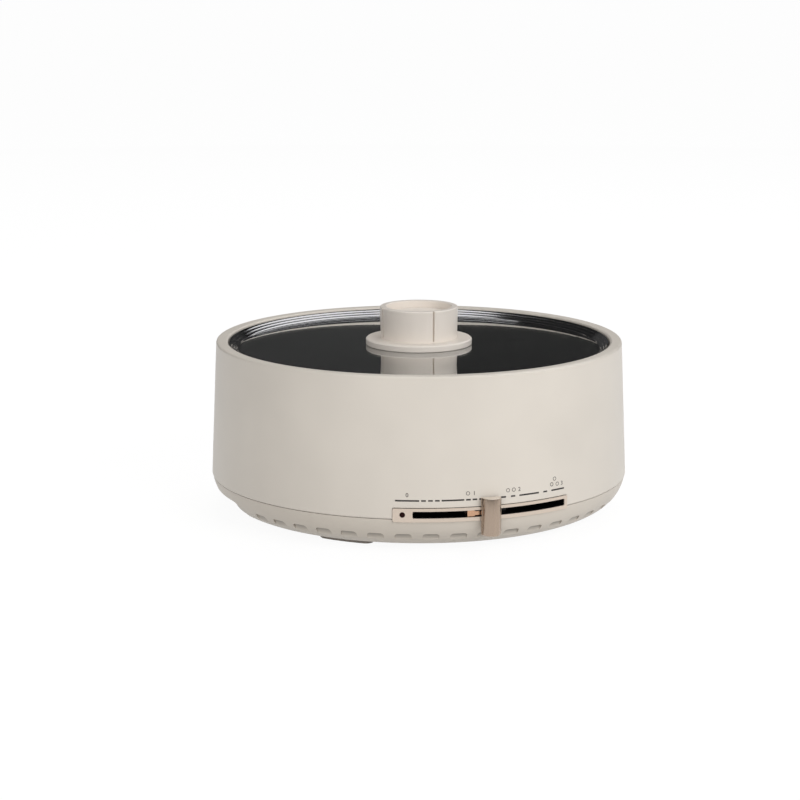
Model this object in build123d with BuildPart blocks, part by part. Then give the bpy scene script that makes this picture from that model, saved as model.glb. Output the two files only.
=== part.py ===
from build123d import *
import os
from math import cos, degrees, radians, sin

# Electric cooking pot: a round plastic housing with a steel liner, a cast heating plate,
# a lift-out inner pot and a lift-off glass lid with a cup-shaped knob.
# Millimetres. The Z axis is the axis of the pot, Z = 0 is the plane the feet stand on,
# and the front, with the heat slider, looks along -Y.

os.makedirs("parts", exist_ok=True)

# Clearances
running_gap = 0.3
press_gap = 0.1
seam_gap = 0.5
seam_step = 0.2
screw_gap = 0.25

# Edge that every screw head has
screw_edge = 0.5

# Housing shell
shell_radius = 160.0
shell_under_turn = 0.4
shell_taper = 4.5
shell_wall = 2.8
seam_height = 27.6
under_turn_height = 0.8
rim_height = 130.3
rim_thickness = 3.6
rim_edge = 1.6
rim_width = 8.9
collar_wall = 2.0
ledge_depth = 15.3
ledge_width = 2.0

# Base cover
base_bottom = 2.7
base_wall = 2.8
base_floor_edge = 8.4
base_corner_inset = 15.0
base_corner_height = 4.8
base_side_inset = 4.0
base_side_height = 16.2
tongue_height = 3.5
tongue_wall = 2.0
tongue_root = 6.0

# Vents round the base, left out beside the finger grips
vent_pitch = 7.5
vent_width = 12.2
vent_height = 6.0
vent_inset = 5.1
vent_depth = 2.4
vent_corner = 2.6
vent_rise = 5.0
vent_backing = 1.4
grip_angle = 90.0
grip_vent_limit = 16.0
underside_slots = 12
underside_slot_width = 4.0
underside_slot_start = 30.0
underside_slot_border = 16.0

# Finger grips scooped out of both sides of the base
grip_sweep = 18.0
grip_scoop_radius = 14.0
grip_centre_outset = 1.6
grip_centre_height = 4.9

# Feet
foot_angle = 43.5
foot_sweep = 20.0
foot_width = 12.5
foot_border = 1.5
foot_seat_depth = 1.0
foot_edge = 0.8

# Inner liner
liner_wall = 0.8
liner_floor_height = 26.0
liner_floor_inset = 25.0
liner_slope_inset = 14.0
liner_slope_height = 32.0
liner_waist_inset = 6.5
liner_waist_height = 50.0
liner_side_inset = 2.6
liner_side_height = 80.0
liner_mid_height = 100.0
liner_gap = 0.5
leg_hole_gap = 3.0
liner_hole_radius = 30.0

# Inner pot
pot_side_gap = 2.1
pot_wall = 2.0
pot_bottom_height = 40.0
pot_side_taper = 5.2
pot_corner_radius = 32.0
pot_flange_thickness = 2.0
pot_flange_gap = 1.0
pot_neck_height = 5.0
pot_dimple_radius = 21.0
pot_dimple_slope = 2.0

# Heating plate, heating tube and what holds them
plate_border = 6.0
plate_thickness = 8.0
plate_hole_radius = 17.0
plate_edge = 1.2
tube_ring_inset = 18.0
tube_rib_width = 14.0
tube_rib_height = 3.5
tube_rib_slope = 2.0
tube_radius = 4.2
tube_end_angle = 12.0
tube_end_height = 17.0
tube_pin_radius = 1.5
tube_pin_height = 14.4
stud_ring_inset = 14.0
spacer_radius = 7.0
plate_screw_radius = 2.0
plate_screw_head_radius = 4.0
plate_screw_head = 2.4
plate_screw_depth = 5.0

# Spring-loaded temperature sensor
sensor_radius = 15.0
sensor_wall = 1.4
sensor_stop_radius = 19.0
sensor_stop_thickness = 1.5
sensor_travel = 2.0
seat_radius = 22.0
seat_wall = 1.0
seat_floor_height = 15.5
seat_flange_radius = 37.0
spring_radius = 9.0
spring_wire_radius = 0.7
sensor_edge = 0.8

# Safety thermostat under the liner
thermostat_radius = 8.0
thermostat_height = 8.0
thermostat_distance = 58.0
thermostat_ear_length = 30.0
thermostat_ear_width = 9.0
thermostat_ear_thickness = 1.0
terminal_width = 4.0
terminal_thickness = 0.8
terminal_length = 6.0

# Control board
board_length = 90.0
board_width = 58.0
board_thickness = 1.6
board_height = 11.0
board_centre = 67.0
board_inset = 5.0
board_post_radius = 3.6
board_screw_radius = 1.4
board_screw_head_radius = 2.6
board_screw_head = 1.8
board_screw_depth = 5.0
relay_length = 20.0
relay_width = 16.0
relay_height = 11.5
relay_edge = 0.6
relay_place = (-32.0, 57.0)
terminal_block_length = 34.0
terminal_block_width = 11.0
terminal_block_height = 9.5
terminal_block_ways = 4
terminal_block_place = (0.0, 86.0)
terminal_screw_radius = 2.2
terminal_screw_depth = 2.0

# Screws that hold the base to the liner, and their nuts
base_screw_inset = 8.0
base_screw_radius = 1.9
base_screw_head_radius = 3.8
base_screw_head = 2.6
base_screw_recess = 7.0
base_post_radius = 5.5
nut_radius = 4.6
nut_height = 3.0
nut_wall_gap = 0.1

# Power inlet at the back
inlet_height = 47.0
inlet_flange_length = 31.0
inlet_flange_width = 24.0
inlet_flange_thickness = 1.6
inlet_body_length = 27.0
inlet_body_width = 19.6
inlet_depth = 17.5
inlet_cavity_length = 24.0
inlet_cavity_width = 16.4
inlet_cavity_depth = 16.5
inlet_corner_cut = 5.0
inlet_corner_radius = 2.0
inlet_seat_depth = 4.0
inlet_latch_taper = 10.0
inlet_seat_inset = 2.1
inlet_pad_border = 4.0
inlet_latch = 1.2
inlet_latch_length = 4.0
inlet_pad_thickness = 3.0
pin_width = 2.0
pin_height = 4.0
pin_length = 17.0
pin_pitch = 14.0
pin_offset = 2.0
pin_tip_setback = 6.0
pin_edge = 0.5

# Slider bezel in the front of the housing
bezel_start = -25.0
bezel_sweep = 49.0
bezel_bottom = 25.6
bezel_top = 35.6
bezel_stand = 0.7
bezel_thickness = 2.5
bezel_corner = 1.2
slot_start = -19.9
slot_end = 23.0
slot_bottom = 28.4
slot_top = 33.4
slot_corner = 1.0
bezel_collar_wall = 1.4
bezel_collar_depth = 7.7
lens_angle = -22.5
lens_height = 31.0
lens_radius = 1.95
lens_length = 7.9
lens_edge = 0.4

# Slider: carriage in the slot, tab in front of it, wiper behind it
carriage_start = -5.7
carriage_sweep = 8.3
carriage_stop_gap = 0.25
carriage_setback = 1.3
carriage_foot_sweep = 12.0
carriage_foot_height = 8.0
carriage_foot_thickness = 2.5
neck_sweep = 3.6
neck_inset = 1.1
neck_reach = 2.0
arm_height = 0.6
arm_groove = 0.5
arm_groove_depth = 1.6
arm_groove_sweep = 7.6
tab_width = 14.7
tab_bottom = 15.2
tab_top = 42.7
tab_depth = 8.8
tab_edge = 0.6
tab_gap = 0.4
tab_plate = 2.0
tab_step = 0.7
tab_shift = 0.8
wiper_sweep = 8.0
wiper_thickness = 0.7
wiper_height = 3.0

# Rail behind the bezel, with the contact board and its screws
rail_wall = 1.6
rail_depth = 7.0
rail_margin = 0.6
rail_room_angle = 1.0
rail_lug_sweep = 3.6
rail_screw_radius = 1.4
rail_screw_head_radius = 2.6
rail_screw_head = 1.8
rail_screw_depth = 6.0
rail_post_radius = 3.6
contact_board_thickness = 1.6
led_radius = 1.5
led_length = 3.0
led_edge = 0.75

# Lid
lid_seat_gap = 0.3
lid_side_gap = 1.2
lid_rim_wall = 0.7
lid_hem_width = 5.0
lid_rim_drop = 1.5
lid_ridges = 3
lid_ridge_pitch = 2.2
lid_ridge_drop = 1.4
lid_ridge_land = 1.2
lid_ring_width = 6.6
glass_thickness = 4.0
glass_edge = 0.5
glass_edge_gap = 0.4
glass_hole_radius = 4.0
glass_below_rim = 2.8
glass_drop = 2.0
glass_flat_radius = 42.0
glass_edge_width = 4.8
gasket_pot_gap = 0.5
gasket_lip_wall = 1.7
gasket_lip_drop = 5.6

# Knob
knob_flange_radius = 40.7
knob_flange_thickness = 5.0
knob_flange_edge = 0.9
knob_foot_radius = 29.3
knob_top_radius = 30.0
knob_height = 24.3
knob_wall = 5.0
knob_dish_depth = 5.4
knob_floor = 3.0
knob_lip = 1.0
knob_slit = 1.4
knob_slits = 4
knob_turn = 3.9
knob_slit_depth = 2.4
knob_slit_lift = 1.0
knob_boss_radius = 6.5
knob_spigot_height = 2.0
knob_spigot_wall = 2.0
knob_screw_radius = 2.4
knob_screw_grip = 11.0
knob_screw_head_radius = 5.5
knob_screw_head = 2.6
knob_washer_radius = 10.0
knob_washer_thickness = 1.5

# Heights and radii that follow from the sizes above
shell_seam_radius = shell_radius - shell_under_turn
shell_top_radius = shell_radius - shell_taper
collar_radius = shell_top_radius - rim_width
ledge_height = rim_height - ledge_depth
base_top = seam_height - seam_gap
base_top_radius = shell_seam_radius - seam_step
base_side_radius = base_top_radius - base_side_inset
base_corner_radius = base_side_radius - base_corner_inset
base_floor_radius = base_corner_radius - base_floor_edge
vent_top = base_side_height
vent_bottom = vent_top - vent_height
vent_bottom_radius = base_side_radius - vent_inset
grip_centre_radius = base_side_radius + grip_centre_outset
foot_outer_radius = base_floor_radius - foot_border
foot_inner_radius = foot_outer_radius - foot_width
shell_inner_seam_radius = shell_seam_radius - shell_wall
tongue_radius = shell_inner_seam_radius - running_gap
liner_top = ledge_height + liner_wall
liner_outer_radius = collar_radius - ledge_width - liner_gap
liner_side_radius = liner_outer_radius - liner_side_inset
liner_waist_radius = liner_side_radius - liner_waist_inset
liner_slope_radius = liner_waist_radius - liner_slope_inset
liner_floor_radius = liner_slope_radius - liner_floor_inset
base_screw_ring = liner_floor_radius - base_screw_inset
underside_slot_end = base_screw_ring - underside_slot_border
liner_floor_top = liner_floor_height + liner_wall
plate_top = pot_bottom_height - running_gap
plate_bottom = plate_top - plate_thickness
pot_flange_bottom = liner_top + running_gap
pot_flange_top = pot_flange_bottom + pot_flange_thickness
pot_outer_radius = liner_outer_radius - liner_wall - pot_side_gap
pot_inner_radius = pot_outer_radius - pot_wall
pot_floor_radius = pot_outer_radius - pot_side_taper - pot_corner_radius
pot_flange_radius = collar_radius - pot_flange_gap
pot_side_height = ledge_height - pot_neck_height
plate_radius = pot_floor_radius - plate_border
stud_ring_radius = plate_radius - stud_ring_inset
tube_ring_radius = stud_ring_radius - tube_ring_inset
lid_bottom = pot_flange_top + lid_seat_gap
lid_radius = collar_radius - lid_side_gap
lid_window_radius = lid_radius - lid_ring_width
lid_rim_top = rim_height - lid_rim_drop
glass_top_height = lid_rim_top - glass_below_rim
glass_shoulder_radius = lid_window_radius - glass_edge_width
gasket_step_radius = pot_inner_radius - gasket_pot_gap
gasket_lip_radius = gasket_step_radius - gasket_lip_wall
glass_bottom = glass_top_height - glass_thickness
glass_edge_top = glass_top_height - glass_drop
glass_edge_bottom = glass_edge_top - glass_thickness
glass_radius = lid_radius - lid_rim_wall - glass_edge_gap
knob_flange_top = glass_top_height + knob_flange_thickness
knob_top_height = knob_flange_top + knob_height
board_top = board_height + board_thickness
base_floor_top = base_bottom + base_wall
inlet_seat_plane = shell_radius - inlet_seat_inset
bezel_radius = shell_radius + bezel_stand
bezel_back = bezel_radius - bezel_thickness
bezel_collar_radius = bezel_radius - bezel_collar_depth
carriage_face_radius = bezel_radius - carriage_setback
rail_back_radius = bezel_collar_radius - rail_depth
slot_middle = (slot_bottom + slot_top) / 2
collar_bottom = slot_bottom - bezel_collar_wall
collar_top = slot_top + bezel_collar_wall
carriage_foot_outer = bezel_collar_radius - running_gap
carriage_foot_inner = carriage_foot_outer - carriage_foot_thickness
rail_face_radius = bezel_collar_radius - press_gap
rail_floor_radius = rail_back_radius + rail_wall
contact_face_radius = rail_floor_radius + contact_board_thickness
rail_bottom = slot_middle - carriage_foot_height / 2 - running_gap - rail_wall
rail_top = slot_middle + carriage_foot_height / 2 + running_gap + rail_wall
sensor_top = plate_top + sensor_travel
pot_dimple_height = sensor_top + running_gap


def point(radius, angle, height=0.0):
    """Place a point by its radius and its angle from the front, positive to the right."""
    return (radius * sin(radians(angle)), -radius * cos(radians(angle)), height)


def radial_plane(angle):
    """Upright plane through the Z axis, with x outwards and y upwards."""
    outwards = (sin(radians(angle)), -cos(radians(angle)), 0)
    return Plane(origin=(0, 0, 0), x_dir=outwards, z_dir=(outwards[1], -outwards[0], 0))


def facing_plane(radius, angle, height):
    """Upright plane that faces outwards at a point, with x to the right and y upwards."""
    outwards = (sin(radians(angle)), -cos(radians(angle)), 0)
    sideways = (cos(radians(angle)), sin(radians(angle)), 0)
    return Plane(origin=point(radius, angle, height), x_dir=sideways, z_dir=outwards)


def level_plane(radius, angle, height):
    """Level plane at a point, with x outwards."""
    outwards = (sin(radians(angle)), -cos(radians(angle)), 0)
    return Plane(origin=point(radius, angle, height), x_dir=outwards, z_dir=(0, 0, 1))


def sector(inner, outer, bottom, top, start, sweep):
    """Ring segment between two radii and two heights, turned from a start angle."""
    with BuildPart() as segment:
        with BuildSketch(radial_plane(start)):
            with Locations(((inner + outer) / 2, (bottom + top) / 2)):
                Rectangle(outer - inner, top - bottom)
        revolve(axis=Axis.Z, revolution_arc=sweep)
    return segment.part


def ring_part(profile_points):
    """Full ring turned about the Z axis from a closed outline of radii and heights."""
    with BuildPart() as ring:
        with BuildSketch(Plane.XZ):
            with BuildLine():
                Polyline(*profile_points, close=True)
            make_face()
        revolve(axis=Axis.Z)
    return ring.part


def screw_part(plane, shank_radius, shank_length, head_radius, head_height):
    """Round-headed screw whose head lies below the plane and whose shank rises from it."""
    with BuildPart() as screw:
        with BuildSketch(plane.offset(-head_height)):
            Circle(head_radius)
        extrude(amount=head_height)
        head_face = screw.faces().sort_by(Axis(plane.origin, plane.z_dir))[0]
        chamfer(head_face.edges(), screw_edge)
        with BuildSketch(plane):
            Circle(shank_radius)
        extrude(amount=shank_length)
    return screw.part


def finish(built, name):
    """Label a finished piece and write it to its own file."""
    built.label = name
    export_step(built, f"parts/{name}.step")


# Housing shell: one outline from the seam over the flat rim down to the pot ledge
collar_angle = degrees(bezel_collar_wall / bezel_collar_radius)
gap_angle = degrees(running_gap / shell_radius)
window_start = lens_angle - degrees((lens_radius + running_gap) / bezel_collar_radius)
window_sweep = slot_end + collar_angle + gap_angle - window_start
bezel_seat_radius = bezel_back - press_gap
inlet_pad_length = inlet_flange_length + 2 * inlet_pad_border
inlet_pad_width = inlet_flange_width + 2 * inlet_pad_border
inlet_face = inlet_seat_plane + inlet_flange_thickness
inlet_back = facing_plane(inlet_seat_plane, 180, inlet_height)

with BuildPart() as housing_shell:
    with BuildSketch(Plane.XZ):
        with BuildLine():
            Polyline(
                (shell_seam_radius, seam_height),
                (shell_radius, seam_height + under_turn_height),
                (shell_top_radius, rim_height),
                (collar_radius, rim_height),
                (collar_radius, ledge_height),
                (collar_radius - ledge_width, ledge_height),
                (collar_radius - ledge_width, ledge_height - shell_wall),
                (collar_radius + collar_wall, ledge_height - shell_wall),
                (collar_radius + collar_wall, rim_height - rim_thickness),
                (shell_top_radius - shell_wall, rim_height - rim_thickness - shell_wall),
                (shell_radius - shell_wall, seam_height + under_turn_height),
                (shell_inner_seam_radius, seam_height),
                close=True,
            )
        make_face()
        fillet(vertices().group_by(Axis.Y)[-1], rim_edge)
    revolve(axis=Axis.Z)
    # Flat pad behind the power inlet, with the inlet's seat and window
    with BuildSketch(inlet_back):
        Rectangle(inlet_pad_length, inlet_pad_width)
    extrude(amount=-inlet_pad_thickness)
    with BuildSketch(inlet_back):
        RectangleRounded(
            inlet_flange_length + 2 * running_gap,
            inlet_flange_width + 2 * running_gap,
            inlet_corner_radius,
        )
    extrude(amount=inlet_seat_depth, mode=Mode.SUBTRACT)
    with BuildSketch(inlet_back):
        Rectangle(inlet_body_length + 2 * running_gap, inlet_body_width + 2 * running_gap)
    extrude(amount=-2 * inlet_pad_thickness, mode=Mode.SUBTRACT)
    # Seat and window of the slider bezel, open at the seam
    add(
        sector(
            bezel_seat_radius, shell_radius + shell_wall, seam_height - seam_gap,
            bezel_top + running_gap, bezel_start - gap_angle, bezel_sweep + 2 * gap_angle,
        ),
        mode=Mode.SUBTRACT,
    )
    add(
        sector(
            bezel_collar_radius - shell_wall, shell_radius + shell_wall, seam_height - seam_gap,
            collar_top + running_gap, window_start, window_sweep,
        ),
        mode=Mode.SUBTRACT,
    )
finish(housing_shell.part, "housing_shell")


def base_outline():
    """Outside line of the base cover, from its centre out and up to the seam."""
    Line((0, base_bottom), (base_floor_radius, base_bottom))
    Line((base_floor_radius, base_bottom), (base_corner_radius, base_corner_height))
    ThreePointArc(
        (base_corner_radius, base_corner_height),
        (base_side_radius, base_side_height),
        (base_top_radius, base_top),
    )


def base_filled():
    """Space inside the outside line of the base cover, as one solid."""
    with BuildPart() as filled:
        with BuildSketch(Plane.XZ):
            with BuildLine():
                base_outline()
                Polyline((base_top_radius, base_top), (0, base_top), (0, base_bottom))
            make_face()
        revolve(axis=Axis.Z)
    return filled.part


def grip_scoops(radius):
    """Finger scoops of both grips: beads that run round the base, with round ends."""
    with BuildPart() as scoop:
        with BuildSketch(radial_plane(grip_angle - grip_sweep / 2)):
            with Locations((grip_centre_radius, grip_centre_height)):
                Circle(radius)
        revolve(axis=Axis.Z, revolution_arc=grip_sweep)
        with Locations(
            point(grip_centre_radius, grip_angle - grip_sweep / 2, grip_centre_height),
            point(grip_centre_radius, grip_angle + grip_sweep / 2, grip_centre_height),
        ):
            Sphere(radius)
    return [scoop.part, scoop.part.rotate(Axis.Z, 180)]


def foot_outline(extra=0.0):
    """Arc-shaped outline of one foot, drawn at its own place under the base."""
    width = foot_outer_radius - foot_inner_radius
    middle = (foot_outer_radius + foot_inner_radius) / 2
    straight = foot_sweep - degrees(width / middle)
    return middle, width + 2 * extra, straight


foot_angles = {
    "foot_front_left": -foot_angle,
    "foot_front_right": foot_angle,
    "foot_rear_right": 180 - foot_angle,
    "foot_rear_left": 180 + foot_angle,
}
base_screw_angles = [45, 135, 225, 315]
stud_angles = [0, 120, 240]
board_hole_x = board_length / 2 - board_inset
board_hole_y = board_width / 2 - board_inset
board_holes = [
    (across * board_hole_x, board_centre + along * board_hole_y)
    for across in (-1, 1)
    for along in (-1, 1)
]
slider_low = slot_start - carriage_start + carriage_stop_gap
slider_high = slot_end - carriage_start - carriage_sweep - carriage_stop_gap
rail_start = slider_low - carriage_foot_sweep / 2 - rail_margin
rail_end = slider_high + carriage_foot_sweep / 2 + rail_margin
rail_board_start = rail_start - rail_lug_sweep
rail_board_sweep = rail_end - rail_board_start
lug_starts = [rail_board_start - rail_lug_sweep, rail_end]
rail_room_start = lug_starts[0] - rail_room_angle
rail_room_sweep = lug_starts[1] + rail_lug_sweep + rail_room_angle - rail_room_start
rail_screw_angles = [start + rail_lug_sweep / 2 for start in lug_starts]
rail_lug_radius = (rail_back_radius + rail_face_radius) / 2
vent_angles = [
    index * vent_pitch
    for index in range(round(360 / vent_pitch))
    if abs(abs((index * vent_pitch + 180) % 360 - 180) - grip_angle) > grip_vent_limit
]

# One vent: a flat-bottomed pocket with a round-cornered top, which runs out into the slope
with BuildPart() as vent_pocket:
    vent_slope = Vector(0, vent_bottom_radius - base_side_radius + vent_depth, vent_top - vent_bottom)
    vent_plane = Plane(
        origin=point(vent_bottom_radius, 0, vent_bottom),
        x_dir=(1, 0, 0),
        z_dir=Vector(1, 0, 0).cross(vent_slope),
    )
    with BuildSketch(vent_plane):
        Rectangle(vent_width, vent_slope.length, align=(Align.CENTER, Align.MIN))
        fillet(vertices().group_by(Axis.Y)[-1], vent_corner)
    extrude(amount=vent_rise)

# Material inside the base: screw posts, board posts, rail posts and the backs of the grips
with BuildPart() as base_inside:
    with BuildSketch(Plane.XY.offset(base_bottom)):
        with Locations(*[point(base_screw_ring, angle) for angle in base_screw_angles]):
            Circle(base_post_radius)
    extrude(amount=liner_floor_height - base_bottom)
    with BuildSketch(Plane.XY.offset(base_bottom)):
        with Locations(*board_holes):
            Circle(board_post_radius)
    extrude(amount=board_height - base_bottom)
    with BuildSketch(Plane.XY.offset(base_bottom)):
        with Locations(*[point(rail_lug_radius, angle) for angle in rail_screw_angles]):
            Circle(rail_post_radius)
    extrude(amount=rail_bottom - base_bottom)
    for scoop_back in grip_scoops(grip_scoop_radius + base_wall):
        add(scoop_back)
    for angle in foot_angles.values():
        middle, width, straight = foot_outline(base_wall)
        with BuildSketch(Plane.XY.offset(base_bottom)):
            SlotArc(CenterArc((0, 0), middle, angle - 90 - straight / 2, straight), width)
        extrude(amount=base_wall + foot_seat_depth)
    add(base_filled(), mode=Mode.INTERSECT)

# Base cover: curved tray with a tongue that nests in the housing shell
with BuildPart() as base_cover:
    with BuildSketch(Plane.XZ):
        with BuildLine():
            base_outline()
            Polyline(
                (base_top_radius, base_top),
                (tongue_radius - press_gap, base_top),
                (base_side_radius - base_wall, base_side_height + vent_backing),
                (base_corner_radius - base_wall, base_corner_height + base_wall),
                (base_floor_radius, base_floor_top),
                (0, base_floor_top),
                (0, base_bottom),
            )
        make_face()
    revolve(axis=Axis.Z)
    add(
        sector(
            tongue_radius - tongue_wall, tongue_radius, base_top - tongue_root,
            base_top + tongue_height, 0, 360,
        )
    )
    # Room for the slider rail and for the bezel's collar
    add(
        sector(
            rail_back_radius, tongue_radius + press_gap, rail_bottom - running_gap,
            base_top + 2 * tongue_height, rail_room_start, rail_room_sweep,
        ),
        mode=Mode.SUBTRACT,
    )
    add(
        sector(
            rail_back_radius, shell_radius, collar_bottom - running_gap,
            base_top + 2 * tongue_height, window_start, window_sweep,
        ),
        mode=Mode.SUBTRACT,
    )
    add(
        sector(
            bezel_seat_radius, shell_radius + shell_wall, bezel_bottom - running_gap,
            seam_height, bezel_start - gap_angle, bezel_sweep + 2 * gap_angle,
        ),
        mode=Mode.SUBTRACT,
    )
    add(base_inside.part)
    for scoop_room in grip_scoops(grip_scoop_radius):
        add(scoop_room, mode=Mode.SUBTRACT)
    for angle in vent_angles:
        add(vent_pocket.part.rotate(Axis.Z, angle), mode=Mode.SUBTRACT)
    # Seats of the feet
    for angle in foot_angles.values():
        middle, width, straight = foot_outline(press_gap)
        with BuildSketch(Plane.XY.offset(base_bottom)):
            SlotArc(CenterArc((0, 0), middle, angle - 90 - straight / 2, straight), width)
        extrude(amount=foot_seat_depth, mode=Mode.SUBTRACT)
    # Ventilation slots in the underside
    with BuildSketch(Plane.XY.offset(base_bottom)):
        slot_centre = (underside_slot_start + underside_slot_end) / 2
        with PolarLocations(slot_centre, underside_slots, start_angle=180 / underside_slots):
            SlotOverall(underside_slot_end - underside_slot_start, underside_slot_width)
    extrude(amount=base_wall, mode=Mode.SUBTRACT)
    # Screw holes
    with BuildSketch(Plane.XY.offset(base_bottom)):
        with Locations(*[point(base_screw_ring, angle) for angle in base_screw_angles]):
            Circle(base_screw_radius + screw_gap)
    extrude(amount=liner_floor_height - base_bottom, mode=Mode.SUBTRACT)
    with BuildSketch(Plane.XY.offset(base_bottom)):
        with Locations(*[point(base_screw_ring, angle) for angle in base_screw_angles]):
            Circle(base_screw_head_radius + screw_gap)
    extrude(amount=base_screw_recess, mode=Mode.SUBTRACT)
    with BuildSketch(Plane.XY.offset(board_height)):
        with Locations(*board_holes):
            Circle(board_screw_radius + press_gap)
    extrude(amount=-board_screw_depth - press_gap, mode=Mode.SUBTRACT)
    with BuildSketch(Plane.XY.offset(rail_bottom)):
        with Locations(*[point(rail_lug_radius, angle) for angle in rail_screw_angles]):
            Circle(rail_screw_radius + press_gap)
    extrude(amount=-rail_screw_depth - press_gap, mode=Mode.SUBTRACT)
finish(base_cover.part, "base_cover")

# Feet: arc-shaped rubber pads pressed into the underside
for foot_name, angle in foot_angles.items():
    middle, width, straight = foot_outline()
    with BuildPart() as foot:
        with BuildSketch():
            SlotArc(CenterArc((0, 0), middle, angle - 90 - straight / 2, straight), width)
        extrude(amount=base_bottom + foot_seat_depth)
        chamfer(foot.faces().sort_by(Axis.Z)[0].edges(), foot_edge)
    finish(foot.part, foot_name)

# Inner liner: thin steel bowl that hangs on the ledge by its flange
tube_end_angles = [180 - tube_end_angle, 180 + tube_end_angle]
with BuildPart() as inner_liner:
    with BuildSketch(Plane.XZ):
        with BuildLine():
            Polyline(
                (liner_hole_radius, liner_floor_height),
                (liner_floor_radius, liner_floor_height),
                (liner_slope_radius, liner_slope_height),
                (liner_waist_radius, liner_waist_height),
                (liner_side_radius, liner_side_height),
                (liner_outer_radius, liner_mid_height),
                (liner_outer_radius, ledge_height),
                (collar_radius - running_gap, ledge_height),
            )
            offset(amount=liner_wall, side=Side.LEFT, kind=Kind.INTERSECTION)
        make_face()
    revolve(axis=Axis.Z)
    with BuildSketch(Plane.XY.offset(liner_floor_height)):
        with Locations(*[point(base_screw_ring, angle) for angle in base_screw_angles]):
            Circle(base_screw_radius + screw_gap)
        with Locations(*[point(stud_ring_radius, angle) for angle in stud_angles]):
            Circle(plate_screw_radius + screw_gap)
        with Locations(*[point(tube_ring_radius, angle) for angle in tube_end_angles]):
            Circle(tube_radius + leg_hole_gap)
    extrude(amount=liner_wall, mode=Mode.SUBTRACT)
finish(inner_liner.part, "inner_liner")

# Nuts on the liner floor, and the screws that come up through the base
with BuildPart() as weld_nuts:
    with BuildSketch(Plane.XY.offset(liner_floor_top)):
        with Locations(*[point(base_screw_ring, angle) for angle in base_screw_angles]):
            RegularPolygon(nut_radius, 6)
            Circle(base_screw_radius + nut_wall_gap, mode=Mode.SUBTRACT)
    extrude(amount=nut_height)
finish(weld_nuts.part, "weld_nuts")

base_screw_seat = base_bottom + base_screw_recess
with BuildPart() as base_screws:
    for angle in base_screw_angles:
        add(
            screw_part(
                level_plane(base_screw_ring, angle, base_screw_seat), base_screw_radius,
                liner_floor_top + nut_height - base_screw_seat, base_screw_head_radius, base_screw_head,
            )
        )
finish(base_screws.part, "base_screws")

# Heating plate: a cast disc with a rib under it, in which the heating tube is cast
rib_inner = tube_ring_radius - tube_rib_width / 2
rib_outer = tube_ring_radius + tube_rib_width / 2
rib_bottom = plate_bottom - tube_rib_height
with BuildPart() as heating_plate:
    with BuildSketch(Plane.XY.offset(plate_bottom)):
        Circle(plate_radius)
        Circle(plate_hole_radius, mode=Mode.SUBTRACT)
    extrude(amount=plate_thickness)
    chamfer(heating_plate.faces().sort_by(Axis.Z)[-1].edges(), plate_edge)
    add(
        ring_part(
            [
                (rib_inner, plate_bottom),
                (rib_inner + tube_rib_slope, rib_bottom),
                (rib_outer - tube_rib_slope, rib_bottom),
                (rib_outer, plate_bottom),
            ]
        )
    )
    with BuildSketch(Plane.XY.offset(plate_bottom)):
        with Locations(*[point(stud_ring_radius, angle) for angle in stud_angles]):
            Circle(plate_screw_radius + press_gap)
    extrude(amount=plate_screw_depth + press_gap, mode=Mode.SUBTRACT)
finish(heating_plate.part, "heating_plate")

# Ends of the heating tube, which come down through the liner floor with their pins
with BuildPart() as heating_tube:
    with BuildSketch(Plane.XY.offset(tube_end_height)):
        with Locations(*[point(tube_ring_radius, angle) for angle in tube_end_angles]):
            Circle(tube_radius)
    extrude(amount=rib_bottom - tube_end_height)
    with BuildSketch(Plane.XY.offset(tube_pin_height)):
        with Locations(*[point(tube_ring_radius, angle) for angle in tube_end_angles]):
            Circle(tube_pin_radius)
    extrude(amount=tube_end_height - tube_pin_height)
finish(heating_tube.part, "heating_tube")

# Ceramic spacers between liner and plate, with their screws
with BuildPart() as plate_spacers:
    with BuildSketch(Plane.XY.offset(liner_floor_top)):
        with Locations(*[point(stud_ring_radius, angle) for angle in stud_angles]):
            Circle(spacer_radius)
            Circle(plate_screw_radius + screw_gap, mode=Mode.SUBTRACT)
    extrude(amount=plate_bottom - liner_floor_top)
finish(plate_spacers.part, "plate_spacers")

with BuildPart() as plate_screws:
    for angle in stud_angles:
        add(
            screw_part(
                level_plane(stud_ring_radius, angle, liner_floor_height), plate_screw_radius,
                plate_bottom + plate_screw_depth - liner_floor_height,
                plate_screw_head_radius, plate_screw_head,
            )
        )
finish(plate_screws.part, "plate_screws")

# Temperature sensor: a cap on a spring that stands in a dished seat
stop_top = plate_bottom - running_gap
sensor_cap = ring_part(
    [
        (0, sensor_top),
        (sensor_radius, sensor_top),
        (sensor_radius, stop_top),
        (sensor_stop_radius, stop_top),
        (sensor_stop_radius, stop_top - sensor_stop_thickness),
        (sensor_radius - sensor_wall, stop_top - sensor_stop_thickness),
        (sensor_radius - sensor_wall, sensor_top - sensor_wall),
        (0, sensor_top - sensor_wall),
    ]
)
with BuildPart() as sensor_cap_piece:
    add(sensor_cap)
    chamfer(sensor_cap_piece.faces().sort_by(Axis.Z)[-1].edges(), sensor_edge)
finish(sensor_cap_piece.part, "sensor_cap")

sensor_seat = ring_part(
    [
        (0, seat_floor_height),
        (seat_radius, seat_floor_height),
        (seat_radius, liner_floor_height - seat_wall),
        (seat_flange_radius, liner_floor_height - seat_wall),
        (seat_flange_radius, liner_floor_height),
        (seat_radius - seat_wall, liner_floor_height),
        (seat_radius - seat_wall, seat_floor_height + seat_wall),
        (0, seat_floor_height + seat_wall),
    ]
)
finish(sensor_seat, "sensor_seat")

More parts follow.
